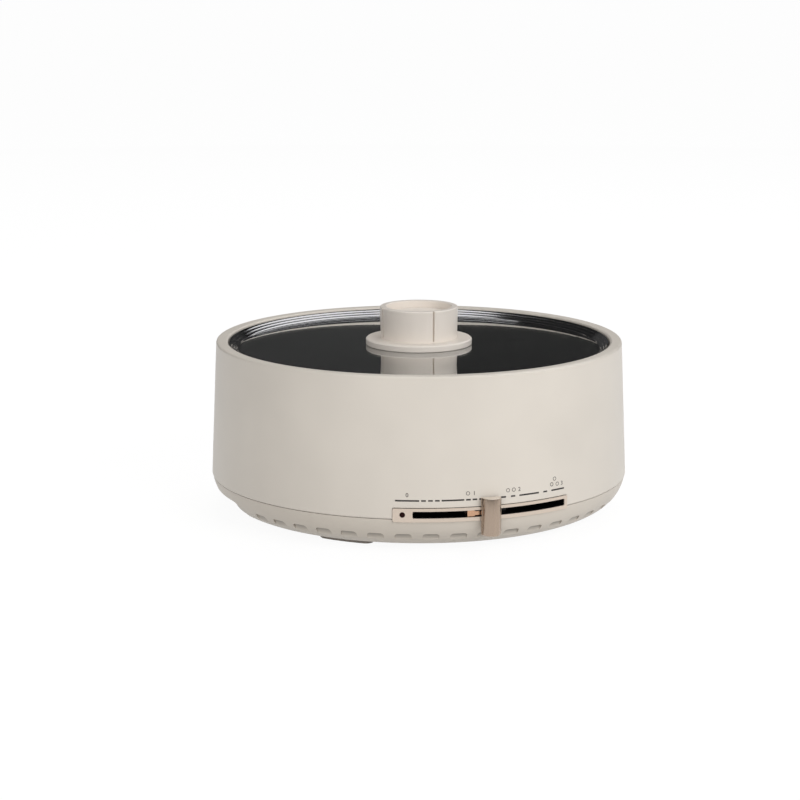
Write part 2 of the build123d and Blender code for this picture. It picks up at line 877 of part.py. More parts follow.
spring_low = seat_floor_height + seat_wall
spring_high = sensor_top - sensor_wall
with BuildPart() as sensor_spring:
    with BuildSketch(Plane.XY.offset(spring_low)):
        Circle(spring_radius + spring_wire_radius)
        Circle(spring_radius - spring_wire_radius, mode=Mode.SUBTRACT)
    extrude(amount=spring_high - spring_low)
finish(sensor_spring.part, "sensor_spring")

# Safety thermostat: a disc with two ears, flat against the liner floor
with BuildPart() as safety_thermostat:
    with BuildSketch(level_plane(thermostat_distance, 0, liner_floor_height)):
        SlotOverall(thermostat_ear_length, thermostat_ear_width, rotation=90)
        Circle(thermostat_radius)
    extrude(amount=-thermostat_ear_thickness)
    with BuildSketch(level_plane(thermostat_distance, 0, liner_floor_height)):
        Circle(thermostat_radius)
    extrude(amount=-thermostat_height)
    with BuildSketch(level_plane(thermostat_distance, 0, liner_floor_height - thermostat_height)):
        with Locations((0, -thermostat_radius / 2), (0, thermostat_radius / 2)):
            Rectangle(terminal_width, terminal_thickness)
    extrude(amount=-terminal_length)
finish(safety_thermostat.part, "safety_thermostat")

# Control board with its relay, terminal block and screws
board_plane = Plane.XY.offset(board_height)
with BuildPart() as control_board:
    with BuildSketch(board_plane):
        with Locations((0, board_centre)):
            Rectangle(board_length, board_width)
        with Locations(*board_holes):
            Circle(board_screw_radius + screw_gap, mode=Mode.SUBTRACT)
    extrude(amount=board_thickness)
finish(control_board.part, "control_board")

with BuildPart() as board_screws:
    for x, y in board_holes:
        add(
            screw_part(
                Plane(origin=(x, y, board_top), z_dir=(0, 0, -1)), board_screw_radius,
                board_thickness + board_screw_depth, board_screw_head_radius, board_screw_head,
            )
        )
finish(board_screws.part, "board_screws")

with BuildPart() as power_relay:
    with BuildSketch(Plane.XY.offset(board_top)):
        with Locations(relay_place):
            Rectangle(relay_length, relay_width)
    extrude(amount=relay_height)
    chamfer(power_relay.edges().filter_by(Axis.Z), relay_edge)
finish(power_relay.part, "power_relay")

with BuildPart() as terminal_block:
    way_pitch = terminal_block_length / terminal_block_ways
    with BuildSketch(Plane.XY.offset(board_top)):
        with Locations(terminal_block_place):
            Rectangle(terminal_block_length, terminal_block_width)
    extrude(amount=terminal_block_height)
    with BuildSketch(Plane.XY.offset(board_top + terminal_block_height)):
        with Locations(terminal_block_place):
            with GridLocations(way_pitch, 0, terminal_block_ways, 1):
                Circle(terminal_screw_radius)
    extrude(amount=-terminal_screw_depth, mode=Mode.SUBTRACT)
finish(terminal_block.part, "terminal_block")

# Power inlet: a snap-in socket with a bevelled cavity and three pins
pin_places = [(-pin_pitch / 2, -pin_offset), (pin_pitch / 2, -pin_offset), (0, pin_offset)]
pin_tip = inlet_face - pin_tip_setback

with BuildPart() as power_inlet:
    with BuildSketch(inlet_back):
        RectangleRounded(inlet_flange_length, inlet_flange_width, inlet_corner_radius)
    extrude(amount=inlet_flange_thickness)
    with BuildSketch(inlet_back):
        Rectangle(inlet_body_length, inlet_body_width)
    extrude(amount=-inlet_depth)
    # Snap latches behind the pad
    with BuildSketch(inlet_back.offset(-inlet_pad_thickness - running_gap)):
        Rectangle(inlet_body_length + 2 * inlet_latch, inlet_body_width / 2)
    extrude(amount=-inlet_latch_length, taper=-inlet_latch_taper)
    with BuildSketch(facing_plane(inlet_face, 180, inlet_height)):
        Rectangle(inlet_cavity_length, inlet_cavity_width)
        chamfer(vertices().group_by(Axis.Y)[-1], inlet_corner_cut)
    extrude(amount=-inlet_cavity_depth, mode=Mode.SUBTRACT)
    with BuildSketch(inlet_back):
        with Locations(*pin_places):
            Rectangle(pin_width + 2 * press_gap, pin_height + 2 * press_gap)
    extrude(amount=-inlet_depth, mode=Mode.SUBTRACT)
finish(power_inlet.part, "power_inlet")

with BuildPart() as inlet_pins:
    with BuildSketch(facing_plane(pin_tip, 180, inlet_height)):
        with Locations(*pin_places):
            Rectangle(pin_width, pin_height)
    extrude(amount=-pin_length)
    chamfer(inlet_pins.faces().group_by(Axis.Y)[-1].edges(), pin_edge)
finish(inlet_pins.part, "inlet_pins")

# Slider bezel: a curved plate with the slot, a collar behind it and the indicator's hole
with BuildPart() as slot_tool:
    add(
        sector(
            rail_back_radius, shell_radius + shell_wall, slot_bottom, slot_top,
            slot_start, slot_end - slot_start,
        )
    )
    fillet(slot_tool.edges().filter_by(GeomType.LINE).group_by(SortBy.LENGTH)[-1], slot_corner)

with BuildPart() as bezel_plate:
    add(sector(bezel_back, bezel_radius, bezel_bottom, bezel_top, bezel_start, bezel_sweep))
    fillet(bezel_plate.edges().filter_by(GeomType.LINE).group_by(SortBy.LENGTH)[0], bezel_corner)

with BuildPart() as slider_bezel:
    add(bezel_plate.part)
    add(
        sector(
            bezel_collar_radius, bezel_back + press_gap, collar_bottom, collar_top,
            slot_start - collar_angle, slot_end - slot_start + 2 * collar_angle,
        )
    )
    add(slot_tool.part, mode=Mode.SUBTRACT)
    with BuildSketch(facing_plane(bezel_collar_radius, lens_angle, lens_height)):
        Circle(lens_radius + press_gap)
    extrude(amount=bezel_radius, mode=Mode.SUBTRACT)
finish(slider_bezel.part, "slider_bezel")

# Indicator: a light pipe in the bezel, with its lamp behind it on the contact board
lens_inner_radius = bezel_radius - running_gap - lens_length
with BuildPart() as indicator_lens:
    with BuildSketch(facing_plane(lens_inner_radius, lens_angle, lens_height)):
        Circle(lens_radius)
    extrude(amount=lens_length)
    chamfer(indicator_lens.faces().sort_by(Axis.Y)[0].edges(), lens_edge)
finish(indicator_lens.part, "indicator_lens")

with BuildPart() as indicator_lamp:
    with BuildSketch(facing_plane(contact_face_radius, lens_angle, lens_height)):
        Circle(led_radius)
    extrude(amount=led_length)
    chamfer(indicator_lamp.faces().sort_by(Axis.Y)[0].edges(), led_edge)
finish(indicator_lamp.part, "indicator_lamp")

# Rail: a curved channel behind the bezel that the carriage slides in, with two lugs
with BuildPart() as slider_rail:
    add(
        sector(
            rail_back_radius, rail_floor_radius, rail_bottom, rail_top,
            rail_board_start, rail_board_sweep,
        )
    )
    for flange_bottom in (rail_bottom, rail_top - rail_wall):
        add(
            sector(
                rail_back_radius, rail_face_radius, flange_bottom, flange_bottom + rail_wall,
                rail_start, rail_end - rail_start,
            )
        )
    for start in lug_starts:
        add(
            sector(
                rail_back_radius, rail_face_radius, rail_bottom, rail_bottom + rail_wall,
                start, rail_lug_sweep,
            )
        )
    with BuildSketch(Plane.XY.offset(rail_bottom)):
        with Locations(*[point(rail_lug_radius, angle) for angle in rail_screw_angles]):
            Circle(rail_screw_radius + screw_gap)
    extrude(amount=rail_wall, mode=Mode.SUBTRACT)
finish(slider_rail.part, "slider_rail")

with BuildPart() as rail_screws:
    for angle in rail_screw_angles:
        place = point(rail_lug_radius, angle, rail_bottom + rail_wall)
        add(
            screw_part(
                Plane(origin=place, z_dir=(0, 0, -1)), rail_screw_radius,
                rail_wall + rail_screw_depth, rail_screw_head_radius, rail_screw_head,
            )
        )
finish(rail_screws.part, "rail_screws")

contact_board = sector(
    rail_floor_radius, contact_face_radius, rail_bottom + rail_wall + press_gap,
    rail_top - rail_wall - press_gap, rail_board_start + gap_angle, rail_board_sweep - 2 * gap_angle,
)
finish(contact_board, "contact_board")

# Carriage: a foot in the rail, a block that fills the slot and a neck that carries the tab
tab_back = bezel_radius + tab_gap
neck_outer = tab_back + neck_reach
with BuildPart() as slider_carriage:
    add(
        sector(
            carriage_foot_inner, carriage_foot_outer, slot_middle - carriage_foot_height / 2,
            slot_middle + carriage_foot_height / 2, -carriage_foot_sweep / 2, carriage_foot_sweep,
        )
    )
    add(
        sector(
            carriage_foot_inner, carriage_face_radius, slot_bottom + running_gap,
            slot_top - running_gap, carriage_start, carriage_sweep,
        )
    )
    add(
        sector(
            carriage_foot_inner, neck_outer, slot_bottom + neck_inset,
            slot_top - neck_inset, -neck_sweep / 2, neck_sweep,
        )
    )
    # Grooves beside the neck that part the block into two springy arms
    arm_inset = running_gap + arm_height
    for groove_height in (slot_bottom + arm_inset, slot_top - arm_inset):
        add(
            sector(
                carriage_face_radius - arm_groove_depth, shell_radius + shell_wall,
                groove_height - arm_groove / 2, groove_height + arm_groove / 2,
                -arm_groove_sweep / 2, arm_groove_sweep,
            ),
            mode=Mode.SUBTRACT,
        )
finish(slider_carriage.part, "slider_carriage")

# Tab: a half-round bar on a thin flat back, pushed onto the carriage's neck
tab_plane = Plane(origin=(tab_shift, 0, tab_bottom))
with BuildPart() as slider_tab:
    with BuildSketch(tab_plane):
        with BuildLine():
            bar_half = tab_width / 2 - tab_step
            Line((-bar_half, -tab_back - tab_plate), (bar_half, -tab_back - tab_plate))
            ThreePointArc(
                (bar_half, -tab_back - tab_plate),
                (0, -tab_back - tab_depth),
                (-bar_half, -tab_back - tab_plate),
            )
        make_face()
    extrude(amount=tab_top - tab_bottom)
    fillet(slider_tab.edges().filter_by(GeomType.CIRCLE), tab_edge)
    with BuildSketch(tab_plane):
        with Locations((0, -tab_back - tab_plate / 2)):
            Rectangle(tab_width, tab_plate)
    extrude(amount=tab_top - tab_bottom)
    add(
        sector(
            bezel_back, neck_outer + press_gap, slot_bottom + neck_inset - press_gap,
            slot_top - neck_inset + press_gap, -neck_sweep / 2 - gap_angle, neck_sweep + 2 * gap_angle,
        ),
        mode=Mode.SUBTRACT,
    )
finish(slider_tab.part, "slider_tab")

wiper_contact = sector(
    carriage_foot_inner - wiper_thickness, carriage_foot_inner, slot_middle - wiper_height / 2,
    slot_middle + wiper_height / 2, -wiper_sweep / 2, wiper_sweep,
)
finish(wiper_contact, "wiper_contact")

# Inner pot: one drawn bowl with a flange and a raised round in the middle of its floor
pot_inner_floor = pot_bottom_height + pot_wall
pot_inner_corner_radius = pot_corner_radius - pot_wall
pot_slope_radius = pot_dimple_radius + pot_dimple_slope
with BuildPart() as inner_pot:
    with BuildSketch(Plane.XZ):
        with BuildLine():
            outer_corner = JernArc(
                (pot_floor_radius, pot_bottom_height), (1, 0), pot_corner_radius, 90
            )
            inner_corner = JernArc(
                (pot_floor_radius, pot_inner_floor), (1, 0), pot_inner_corner_radius, 90
            )
            Polyline(
                outer_corner @ 1,
                (pot_outer_radius, pot_side_height),
                (pot_outer_radius, pot_flange_bottom),
                (pot_flange_radius, pot_flange_bottom),
                (pot_flange_radius, pot_flange_top),
                (pot_inner_radius, pot_flange_top),
                (pot_inner_radius, pot_side_height),
                inner_corner @ 1,
            )
            Polyline(
                inner_corner @ 0,
                (pot_slope_radius, pot_inner_floor),
                (pot_dimple_radius, pot_dimple_height + pot_wall),
                (0, pot_dimple_height + pot_wall),
                (0, pot_dimple_height),
                (pot_dimple_radius, pot_dimple_height),
                (pot_slope_radius, pot_bottom_height),
                outer_corner @ 0,
            )
        make_face()
    revolve(axis=Axis.Z)
finish(inner_pot.part, "inner_pot")

# Lid: a glass that falls gently to its edge, in a ridged steel rim, with a sealing ring below
glass_slope_middle = (glass_flat_radius + glass_shoulder_radius) / 2


def glass_slope(centre_height):
    """Two arcs that lead from the flat middle of the glass down to its flat edge."""
    middle = (glass_slope_middle, centre_height - glass_drop / 2)
    shoulder = (glass_shoulder_radius, centre_height - glass_drop)
    upper = TangentArc((glass_flat_radius, centre_height), middle, tangent=(1, 0))
    TangentArc(middle, shoulder, tangent=upper % 1)


with BuildPart() as lid_glass:
    with BuildSketch(Plane.XZ):
        with BuildLine():
            Line((glass_hole_radius, glass_top_height), (glass_flat_radius, glass_top_height))
            glass_slope(glass_top_height)
            Polyline(
                (glass_shoulder_radius, glass_edge_top),
                (glass_radius - glass_edge, glass_edge_top),
                (glass_radius, glass_edge_top - glass_edge),
                (glass_radius, glass_edge_bottom + glass_edge),
                (glass_radius - glass_edge, glass_edge_bottom),
                (glass_shoulder_radius, glass_edge_bottom),
            )
            glass_slope(glass_bottom)
            Polyline(
                (glass_flat_radius, glass_bottom),
                (glass_hole_radius, glass_bottom),
                (glass_hole_radius, glass_top_height),
            )
        make_face()
    revolve(axis=Axis.Z)
finish(lid_glass.part, "lid_glass")

lid_ridge_points = [
    (lid_radius - lid_rim_wall - index * lid_ridge_pitch - along, lid_rim_top - index * lid_ridge_drop)
    for index in range(lid_ridges)
    for along in (0, lid_ridge_land)
]
lid_rim = ring_part(
    [
        (lid_radius, lid_rim_top - lid_rim_wall),
        *lid_ridge_points,
        (lid_window_radius, glass_edge_top),
        (lid_radius - lid_rim_wall, glass_edge_top),
        (lid_radius - lid_rim_wall, lid_bottom + lid_rim_wall),
        (lid_radius - lid_hem_width, lid_bottom + lid_rim_wall),
        (lid_radius - lid_hem_width, lid_bottom),
        (lid_radius, lid_bottom),
    ]
)
finish(lid_rim, "lid_rim")

gasket_bottom = lid_bottom + lid_rim_wall
lid_gasket = ring_part(
    [
        (gasket_lip_radius, glass_edge_bottom),
        (glass_radius, glass_edge_bottom),
        (glass_radius, gasket_bottom),
        (gasket_step_radius, gasket_bottom),
        (gasket_step_radius, gasket_bottom - gasket_lip_drop),
        (gasket_lip_radius, gasket_bottom - gasket_lip_drop),
    ]
)
finish(lid_gasket, "lid_gasket")

# Knob: a round flange on the glass, a cup on the flange and one screw from below
spigot_outer = knob_foot_radius - knob_wall - press_gap
spigot_inner = spigot_outer - knob_spigot_wall
with BuildPart() as knob_flange:
    with BuildSketch(Plane.XY.offset(glass_top_height)):
        Circle(knob_flange_radius)
    extrude(amount=knob_flange_thickness)
    chamfer(knob_flange.faces().sort_by(Axis.Z)[-1].edges(), knob_flange_edge)
    chamfer(knob_flange.faces().sort_by(Axis.Z)[0].edges(), knob_flange_edge / 2)
    with BuildSketch(Plane.XY.offset(knob_flange_top)):
        Circle(spigot_outer)
        Circle(spigot_inner, mode=Mode.SUBTRACT)
    extrude(amount=knob_spigot_height)
    with BuildSketch(Plane.XY.offset(glass_top_height)):
        Circle(knob_screw_radius + screw_gap)
    extrude(amount=knob_flange_thickness, mode=Mode.SUBTRACT)
finish(knob_flange.part, "knob_flange")

dish_floor = knob_top_height - knob_dish_depth
with BuildPart() as knob_cup:
    with BuildSketch(Plane.XZ):
        with BuildLine():
            Polyline(
                (0, dish_floor),
                (knob_top_radius - knob_wall, dish_floor),
                (knob_top_radius - knob_wall, knob_top_height),
                (knob_top_radius, knob_top_height),
                (knob_foot_radius, knob_flange_top),
                (knob_foot_radius - knob_wall, knob_flange_top),
                (knob_foot_radius - knob_wall, dish_floor - knob_floor),
                (knob_boss_radius, dish_floor - knob_floor),
                (knob_boss_radius, knob_flange_top),
                (0, knob_flange_top),
                close=True,
            )
        make_face()
    revolve(axis=Axis.Z)
    top_edges = knob_cup.faces().sort_by(Axis.Z)[-1].edges().sort_by(SortBy.LENGTH)
    fillet(top_edges[-1], knob_lip)
    chamfer(top_edges[0], knob_lip / 2)
    with BuildSketch(Plane.XY.offset(knob_flange_top)):
        Circle(knob_screw_radius + press_gap)
    extrude(amount=knob_screw_grip + press_gap, mode=Mode.SUBTRACT)
    with BuildSketch(Plane.XY.offset(knob_flange_top + knob_slit_lift)):
        with PolarLocations(knob_top_radius, knob_slits, start_angle=knob_turn):
            Rectangle(2 * knob_slit_depth, knob_slit)
    extrude(amount=knob_top_height, mode=Mode.SUBTRACT)
finish(knob_cup.part, "knob_cup")

washer_bottom = glass_bottom - knob_washer_thickness
with BuildPart() as knob_washer:
    with BuildSketch(Plane.XY.offset(washer_bottom)):
        Circle(knob_washer_radius)
        Circle(knob_screw_radius + screw_gap, mode=Mode.SUBTRACT)
    extrude(amount=knob_washer_thickness)
finish(knob_washer.part, "knob_washer")

knob_screw = screw_part(
    Plane.XY.offset(washer_bottom), knob_screw_radius,
    knob_flange_top + knob_screw_grip - washer_bottom, knob_screw_head_radius, knob_screw_head,
)
finish(knob_screw, "knob_screw")
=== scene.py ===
"""Looks of an electric cooking pot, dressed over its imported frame.

Metres throughout, in the frame's own axes: Z is the pot's axis, Z = 0 is the plane the feet
stand on, and the front with the heat slider looks along -Y. Angles on the housing are counted
from the front, positive to the right.
"""

import logging
import math
from abc import ABC, abstractmethod
from dataclasses import dataclass, field
from enum import Enum
from typing import Callable, Sequence

import bmesh
import bpy
from mathutils import Matrix, Vector


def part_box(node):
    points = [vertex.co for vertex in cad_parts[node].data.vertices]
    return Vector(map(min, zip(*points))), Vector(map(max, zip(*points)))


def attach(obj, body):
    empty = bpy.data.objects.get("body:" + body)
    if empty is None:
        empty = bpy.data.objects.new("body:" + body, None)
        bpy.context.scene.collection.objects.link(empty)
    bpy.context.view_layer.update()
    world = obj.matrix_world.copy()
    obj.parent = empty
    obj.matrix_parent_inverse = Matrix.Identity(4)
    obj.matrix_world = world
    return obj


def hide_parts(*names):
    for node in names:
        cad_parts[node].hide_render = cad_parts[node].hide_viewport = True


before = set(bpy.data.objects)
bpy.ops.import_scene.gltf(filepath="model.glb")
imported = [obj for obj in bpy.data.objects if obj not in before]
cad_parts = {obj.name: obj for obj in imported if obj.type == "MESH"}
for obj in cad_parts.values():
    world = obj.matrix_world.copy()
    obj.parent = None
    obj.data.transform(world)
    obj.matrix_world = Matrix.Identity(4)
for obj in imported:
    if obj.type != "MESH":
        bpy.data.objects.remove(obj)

LOG = logging.getLogger("cooking_pot")
FULL_TURN = 2 * math.pi
EDGE_SLOPE = 0.0002
NOISE_RANGE = (0.3, 0.7)
MERGE_DISTANCE = 1e-7
LEVEL_TOLERANCE = 1e-6
SHARP_ANGLE = math.radians(32)
STEPS_PER_DEGREE = 2

Colour = tuple[float, float, float]
Point = tuple[float, float]
Socket = bpy.types.NodeSocket


def linear(red: int, green: int, blue: int) -> Colour:
    """Turn a colour as it is seen on a screen into a scene colour.

    Args:
        red, green, blue: The seen colour, each from 0 to 255.

    Returns:
        The same colour in linear light, each from 0 to 1.
    """
    seen = (channel / 255 for channel in (red, green, blue))
    return tuple(c / 12.92 if c <= 0.04045 else ((c + 0.055) / 1.055) ** 2.4 for c in seen)


def shade(colour: Colour, factor: float) -> Colour:
    """Make a colour darker or lighter by a factor."""
    return tuple(min(1.0, channel * factor) for channel in colour)


def on_ring(radius: float, angle: float, height: float = 0.0) -> Vector:
    """Place a point round the pot.

    Args:
        radius: Distance from the pot's axis.
        angle: Degrees from the front, positive to the right.
        height: Height over the feet's plane.

    Returns:
        The point in the frame.
    """
    turn = math.radians(angle)
    return Vector((radius * math.sin(turn), -radius * math.cos(turn), height))


# Node trees


class NodeSheet:
    """A node tree, with the few kinds of node that the finishes and the studio share."""

    def __init__(self, tree: bpy.types.NodeTree) -> None:
        """Take up the tree's nodes and links."""
        self.nodes = tree.nodes
        self.links = tree.links

    def coordinates(self, stretch: Sequence[float] = (1, 1, 1)) -> Socket:
        """Give the piece's own coordinates.

        Args:
            stretch: How many times denser a pattern runs along X, Y and Z.

        Returns:
            The vector socket.
        """
        place = self.nodes.new("ShaderNodeTexCoord")
        mapping = self.nodes.new("ShaderNodeMapping")
        mapping.inputs["Scale"].default_value = tuple(stretch)
        self.links.new(place.outputs["Object"], mapping.inputs["Vector"])
        return mapping.outputs["Vector"]

    def reach(self) -> Socket:
        """Give the distance from the pot's axis, in metres.

        Returns:
            The value's socket.
        """
        length = self.nodes.new("ShaderNodeVectorMath")
        length.operation = "LENGTH"
        self.links.new(self.coordinates((1, 1, 0)), length.inputs[0])
        return length.outputs["Value"]

    def height(self) -> Socket:
        """Give the height over the feet's plane, in metres.

        Returns:
            The value's socket.
        """
        parts = self.nodes.new("ShaderNodeSeparateXYZ")
        self.links.new(self.coordinates(), parts.inputs[0])
        return parts.outputs["Z"]

    def seen_or_mirrored(self) -> Socket:
        """Give 1 for rays from the camera, off gloss or through glass, and 0 for the others.

        Returns:
            The factor socket.
        """
        path = self.nodes.new("ShaderNodeLightPath")
        total = path.outputs["Is Camera Ray"]
        for name in ("Is Glossy Ray", "Is Transmission Ray"):
            total = self.calculated("MAXIMUM", total, path.outputs[name])
        return total

    def noise(self, vector: Socket, size: float, detail: float = 2.0) -> Socket:
        """Give a cloudy pattern.

        Args:
            vector: Where the pattern is read.
            size: Size of one cloud, in metres.
            detail: Number of finer layers in it.

        Returns:
            The factor socket, about 0.3 to 0.7.
        """
        texture = self.nodes.new("ShaderNodeTexNoise")
        texture.inputs["Scale"].default_value = 1 / size
        texture.inputs["Detail"].default_value = detail
        self.links.new(vector, texture.inputs["Vector"])
        return texture.outputs["Fac"]

    def rings(
        self, vector: Socket, pitch: float, waver: float = 0.4, detail: float = 2.0
    ) -> Socket:
        """Give fine turning marks that run round the pot's axis.

        Args:
            vector: Where the pattern is read.
            pitch: Distance between two marks, in metres.
            waver: How far the marks stray from true rings.
            detail: Number of finer layers in that.

        Returns:
            The factor socket, from 0 to 1.
        """
        marks_per_unit = 20
        texture = self.nodes.new("ShaderNodeTexWave")
        texture.wave_type = "RINGS"
        texture.rings_direction = "Z"
        texture.inputs["Scale"].default_value = 1 / (pitch * marks_per_unit)
        texture.inputs["Distortion"].default_value = waver
        texture.inputs["Detail"].default_value = detail
        self.links.new(vector, texture.inputs["Vector"])
        return texture.outputs["Fac"]

    def dots(self, vector: Socket, pitch: float) -> Socket:
        """Give the distance from the nearest of many scattered dots.

        Args:
            vector: Where the pattern is read.
            pitch: Distance between two dots, in metres.

        Returns:
            The distance socket, as a share of the pitch.
        """
        texture = self.nodes.new("ShaderNodeTexVoronoi")
        texture.inputs["Scale"].default_value = 1 / pitch
        self.links.new(vector, texture.inputs["Vector"])
        return texture.outputs["Distance"]

    def mapped(self, value: Socket, old: Point, new: Point = (0.0, 1.0)) -> Socket:
        """Carry a value from one range over to another, held at both ends.

        Args:
            value: The value's socket.
            old: First and last value of the range that it comes in.
            new: What these two become.

        Returns:
            The result socket.
        """
        node = self.nodes.new("ShaderNodeMapRange")
        for name, end in zip(("From Min", "From Max", "To Min", "To Max"), (*old, *new)):
            node.inputs[name].default_value = end
        self.links.new(value, node.inputs["Value"])
        return node.outputs["Result"]

    def spread(self, factor: Socket, low: float = 0.0, high: float = 1.0) -> Socket:
        """Stretch a noise's factor between two values."""
        return self.mapped(factor, NOISE_RANGE, (low, high))

    def step(self, value: Socket, place: float) -> Socket:
        """Give 0 below a place and 1 above it, with a short slope between."""
        return self.mapped(value, (place - EDGE_SLOPE, place))

    def fall(self, value: Socket, start: float, end: float) -> Socket:
        """Give 1 up to one place, falling to 0 at another."""
        return self.mapped(value, (start, end), (1.0, 0.0))

    def calculated(self, operation: str, first: Socket, second: Socket | float) -> Socket:
        """Work out one of the Math node's operations.

        Args:
            operation: Its name, such as MULTIPLY.
            first: The first value's socket.
            second: The second value, a socket or a number.

        Returns:
            The result socket.
        """
        node = self.nodes.new("ShaderNodeMath")
        node.operation = operation
        self.links.new(first, node.inputs[0])
        if isinstance(second, Socket):
            self.links.new(second, node.inputs[1])
        else:
            node.inputs[1].default_value = second
        return node.outputs[0]

    def blend(self, factor: Socket, first: Colour, second: Colour | Socket) -> Socket:
        """Blend two colours by a factor.

        Args:
            factor: 0 gives the first colour and 1 the second.
            first: Linear colour.
            second: Linear colour, or the colour socket of a pattern.

        Returns:
            The colour socket.
        """
        mix = self.nodes.new("ShaderNodeMix")
        mix.data_type = "RGBA"
        colours = [socket for socket in mix.inputs if socket.type == "RGBA"]
        colours[0].default_value = (*first, 1)
        if isinstance(second, Socket):
            self.links.new(second, colours[1])
        else:
            colours[1].default_value = (*second, 1)
        self.links.new(factor, mix.inputs["Factor"])
        return next(socket for socket in mix.outputs if socket.type == "RGBA")


class Surface(NodeSheet):
    """The node tree of one new material, with its Principled surface."""

    def __init__(self, name: str) -> None:
        """Start the material.

        Args:
            name: The material's name.
        """
        self.material = bpy.data.materials.new(name)
        self.material.use_nodes = True
        super().__init__(self.material.node_tree)
        self.principled = self.nodes["Principled BSDF"]

    def set(self, name: str, value: float | Colour) -> None:
        """Set one of the surface's inputs to a value that is the same all over."""
        self.principled.inputs[name].default_value = (
            (*value, 1) if isinstance(value, tuple) else value
        )

    def feed(self, socket: Socket, name: str) -> None:
        """Lead a pattern into one of the surface's inputs."""
        self.links.new(socket, self.principled.inputs[name])

    def vary(self, factor: Socket, name: str, middle: float, play: float) -> None:
        """Let one of the surface's inputs vary with a noise.

        Args:
            factor: The noise's factor.
            name: The input's name.
            middle: Its value on the whole.
            play: How far it goes to either side.
        """
        self.feed(self.spread(factor, middle - play, middle + play), name)

    def uneven(self, factor: Socket, colour: Colour, play: float) -> Socket:
        """Let a colour's tone vary with a noise.

        Args:
            factor: The noise's factor.
            colour: Linear colour.
            play: How far its tone goes to either side, as a share.

        Returns:
            The colour socket.
        """
        return self.blend(self.spread(factor), shade(colour, 1 - play), shade(colour, 1 + play))

    def bump(self, height: Socket, depth: float) -> None:
        """Raise the surface by a pattern.

        Args:
            height: The pattern.
            depth: Height of a full step of it, in metres.
        """
        node = self.nodes.new("ShaderNodeBump")
        node.inputs["Distance"].default_value = depth
        node.inputs["Strength"].default_value = 1.0
        self.links.new(height, node.inputs["Height"])
        self.feed(node.outputs["Normal"], "Normal")


# Finishes


@dataclass(frozen=True)
class Finish(ABC):
    """A finish that can be put on pieces."""

    name: str
    colour: Colour

    def build(self) -> bpy.types.Material:
        """Make the material.

        Returns:
            The new material.
        """
        surface = Surface(self.name)
        self.lay(surface)
        return surface.material

    @abstractmethod
    def lay(self, surface: Surface) -> None:
        """Give the surface its colour, roughness and relief.

        Args:
            surface: The surface of the new material.
        """


@dataclass(frozen=True)
class PocketShade:
    """Painted shade in the colour, which deepens towards the back of pockets in a slanting side.

    The side runs from one radius and height outwards and upwards by its lean, up to its top, and
    the shade is full where a pocket goes deep below it.
    """

    radius: float
    height: float
    top: float
    lean: float
    deep: float
    darkness: float

    def lightness(self, surface: Surface) -> Socket:
        """Give 1 on the open side and 0 at the back of a pocket.

        Args:
            surface: The surface that takes the shade.

        Returns:
            The factor socket.
        """
        height = surface.height()
        side = surface.calculated("MULTIPLY", height, self.lean)
        depth = surface.calculated("SUBTRACT", side, surface.reach())
        start = self.height * self.lean - self.radius
        open_side = surface.fall(depth, start, start + self.deep)
        below = surface.fall(height, self.height - EDGE_SLOPE, self.height)
        above = surface.step(height, self.top + EDGE_SLOPE)
        outside = surface.calculated("MAXIMUM", below, above)
        return surface.calculated("MAXIMUM", open_side, outside)


@dataclass(frozen=True)
class MouldedPlastic(Finish):
    """Moulded plastic with a fine sparked grain, a faint unevenness of tone and, where given,
    painted shade in pockets.
    """

    roughness: float = 0.42
    grain: float = 0.0004
    grain_depth: float = 0.000012
    unevenness: float = 0.03
    gloss: float = 0.5
    pockets: PocketShade | None = None
    cloud: float = 0.06
    roughness_play: float = 0.04

    def lay(self, surface: Surface) -> None:
        """Give the surface an uneven tone, painted shade in pockets and a grain.

        Args:
            surface: The surface of the new material.
        """
        place = surface.coordinates()
        colour = surface.uneven(surface.noise(place, self.cloud), self.colour, self.unevenness)
        # Painted shade: the colour darkens towards the back of the pockets.
        if self.pockets:
            shaded = shade(self.colour, self.pockets.darkness)
            colour = surface.blend(self.pockets.lightness(surface), shaded, colour)
        surface.feed(colour, "Base Color")
        grain = surface.noise(place, self.grain, detail=1.0)
        surface.vary(grain, "Roughness", self.roughness, self.roughness_play)
        surface.set("Specular IOR Level", self.gloss)
        surface.bump(grain, self.grain_depth)


@dataclass(frozen=True)
class SatinMetal(Finish):
    """Brushed or satin metal, with hair lines along one direction.

    Where a piece goes deep into the slot, painted shade takes over from a radius: what lies nearer
    to the pot's axis is near-black and not metallic.
    """

    roughness: float = 0.3
    stretch: tuple[float, float, float] = (1.0, 1.0, 0.04)
    line: float = 0.0003
    line_depth: float = 0.000006
    contrast: float = 0.05
    metallic: float = 1.0
    painted_shade_from: float = 0.0
    shade_colour: Colour = (0.003, 0.003, 0.003)
    roughness_play: float = 0.05

    def lay(self, surface: Surface) -> None:
        """Give the surface hair lines, and painted shade where it goes deep.

        Args:
            surface: The surface of the new material.
        """
        lines = surface.noise(surface.coordinates(self.stretch), self.line, detail=3.0)
        colour = surface.uneven(lines, self.colour, self.contrast)
        surface.set("Metallic", self.metallic)
        # Painted shade: near-black and not metallic inside a radius.
        if self.painted_shade_from:
            unshaded = surface.step(surface.reach(), self.painted_shade_from)
            colour = surface.blend(unshaded, self.shade_colour, colour)
            surface.feed(surface.calculated("MULTIPLY", unshaded, self.metallic), "Metallic")
        surface.feed(colour, "Base Color")
        surface.vary(lines, "Roughness", self.roughness, self.roughness_play)
        surface.bump(lines, self.line_depth)


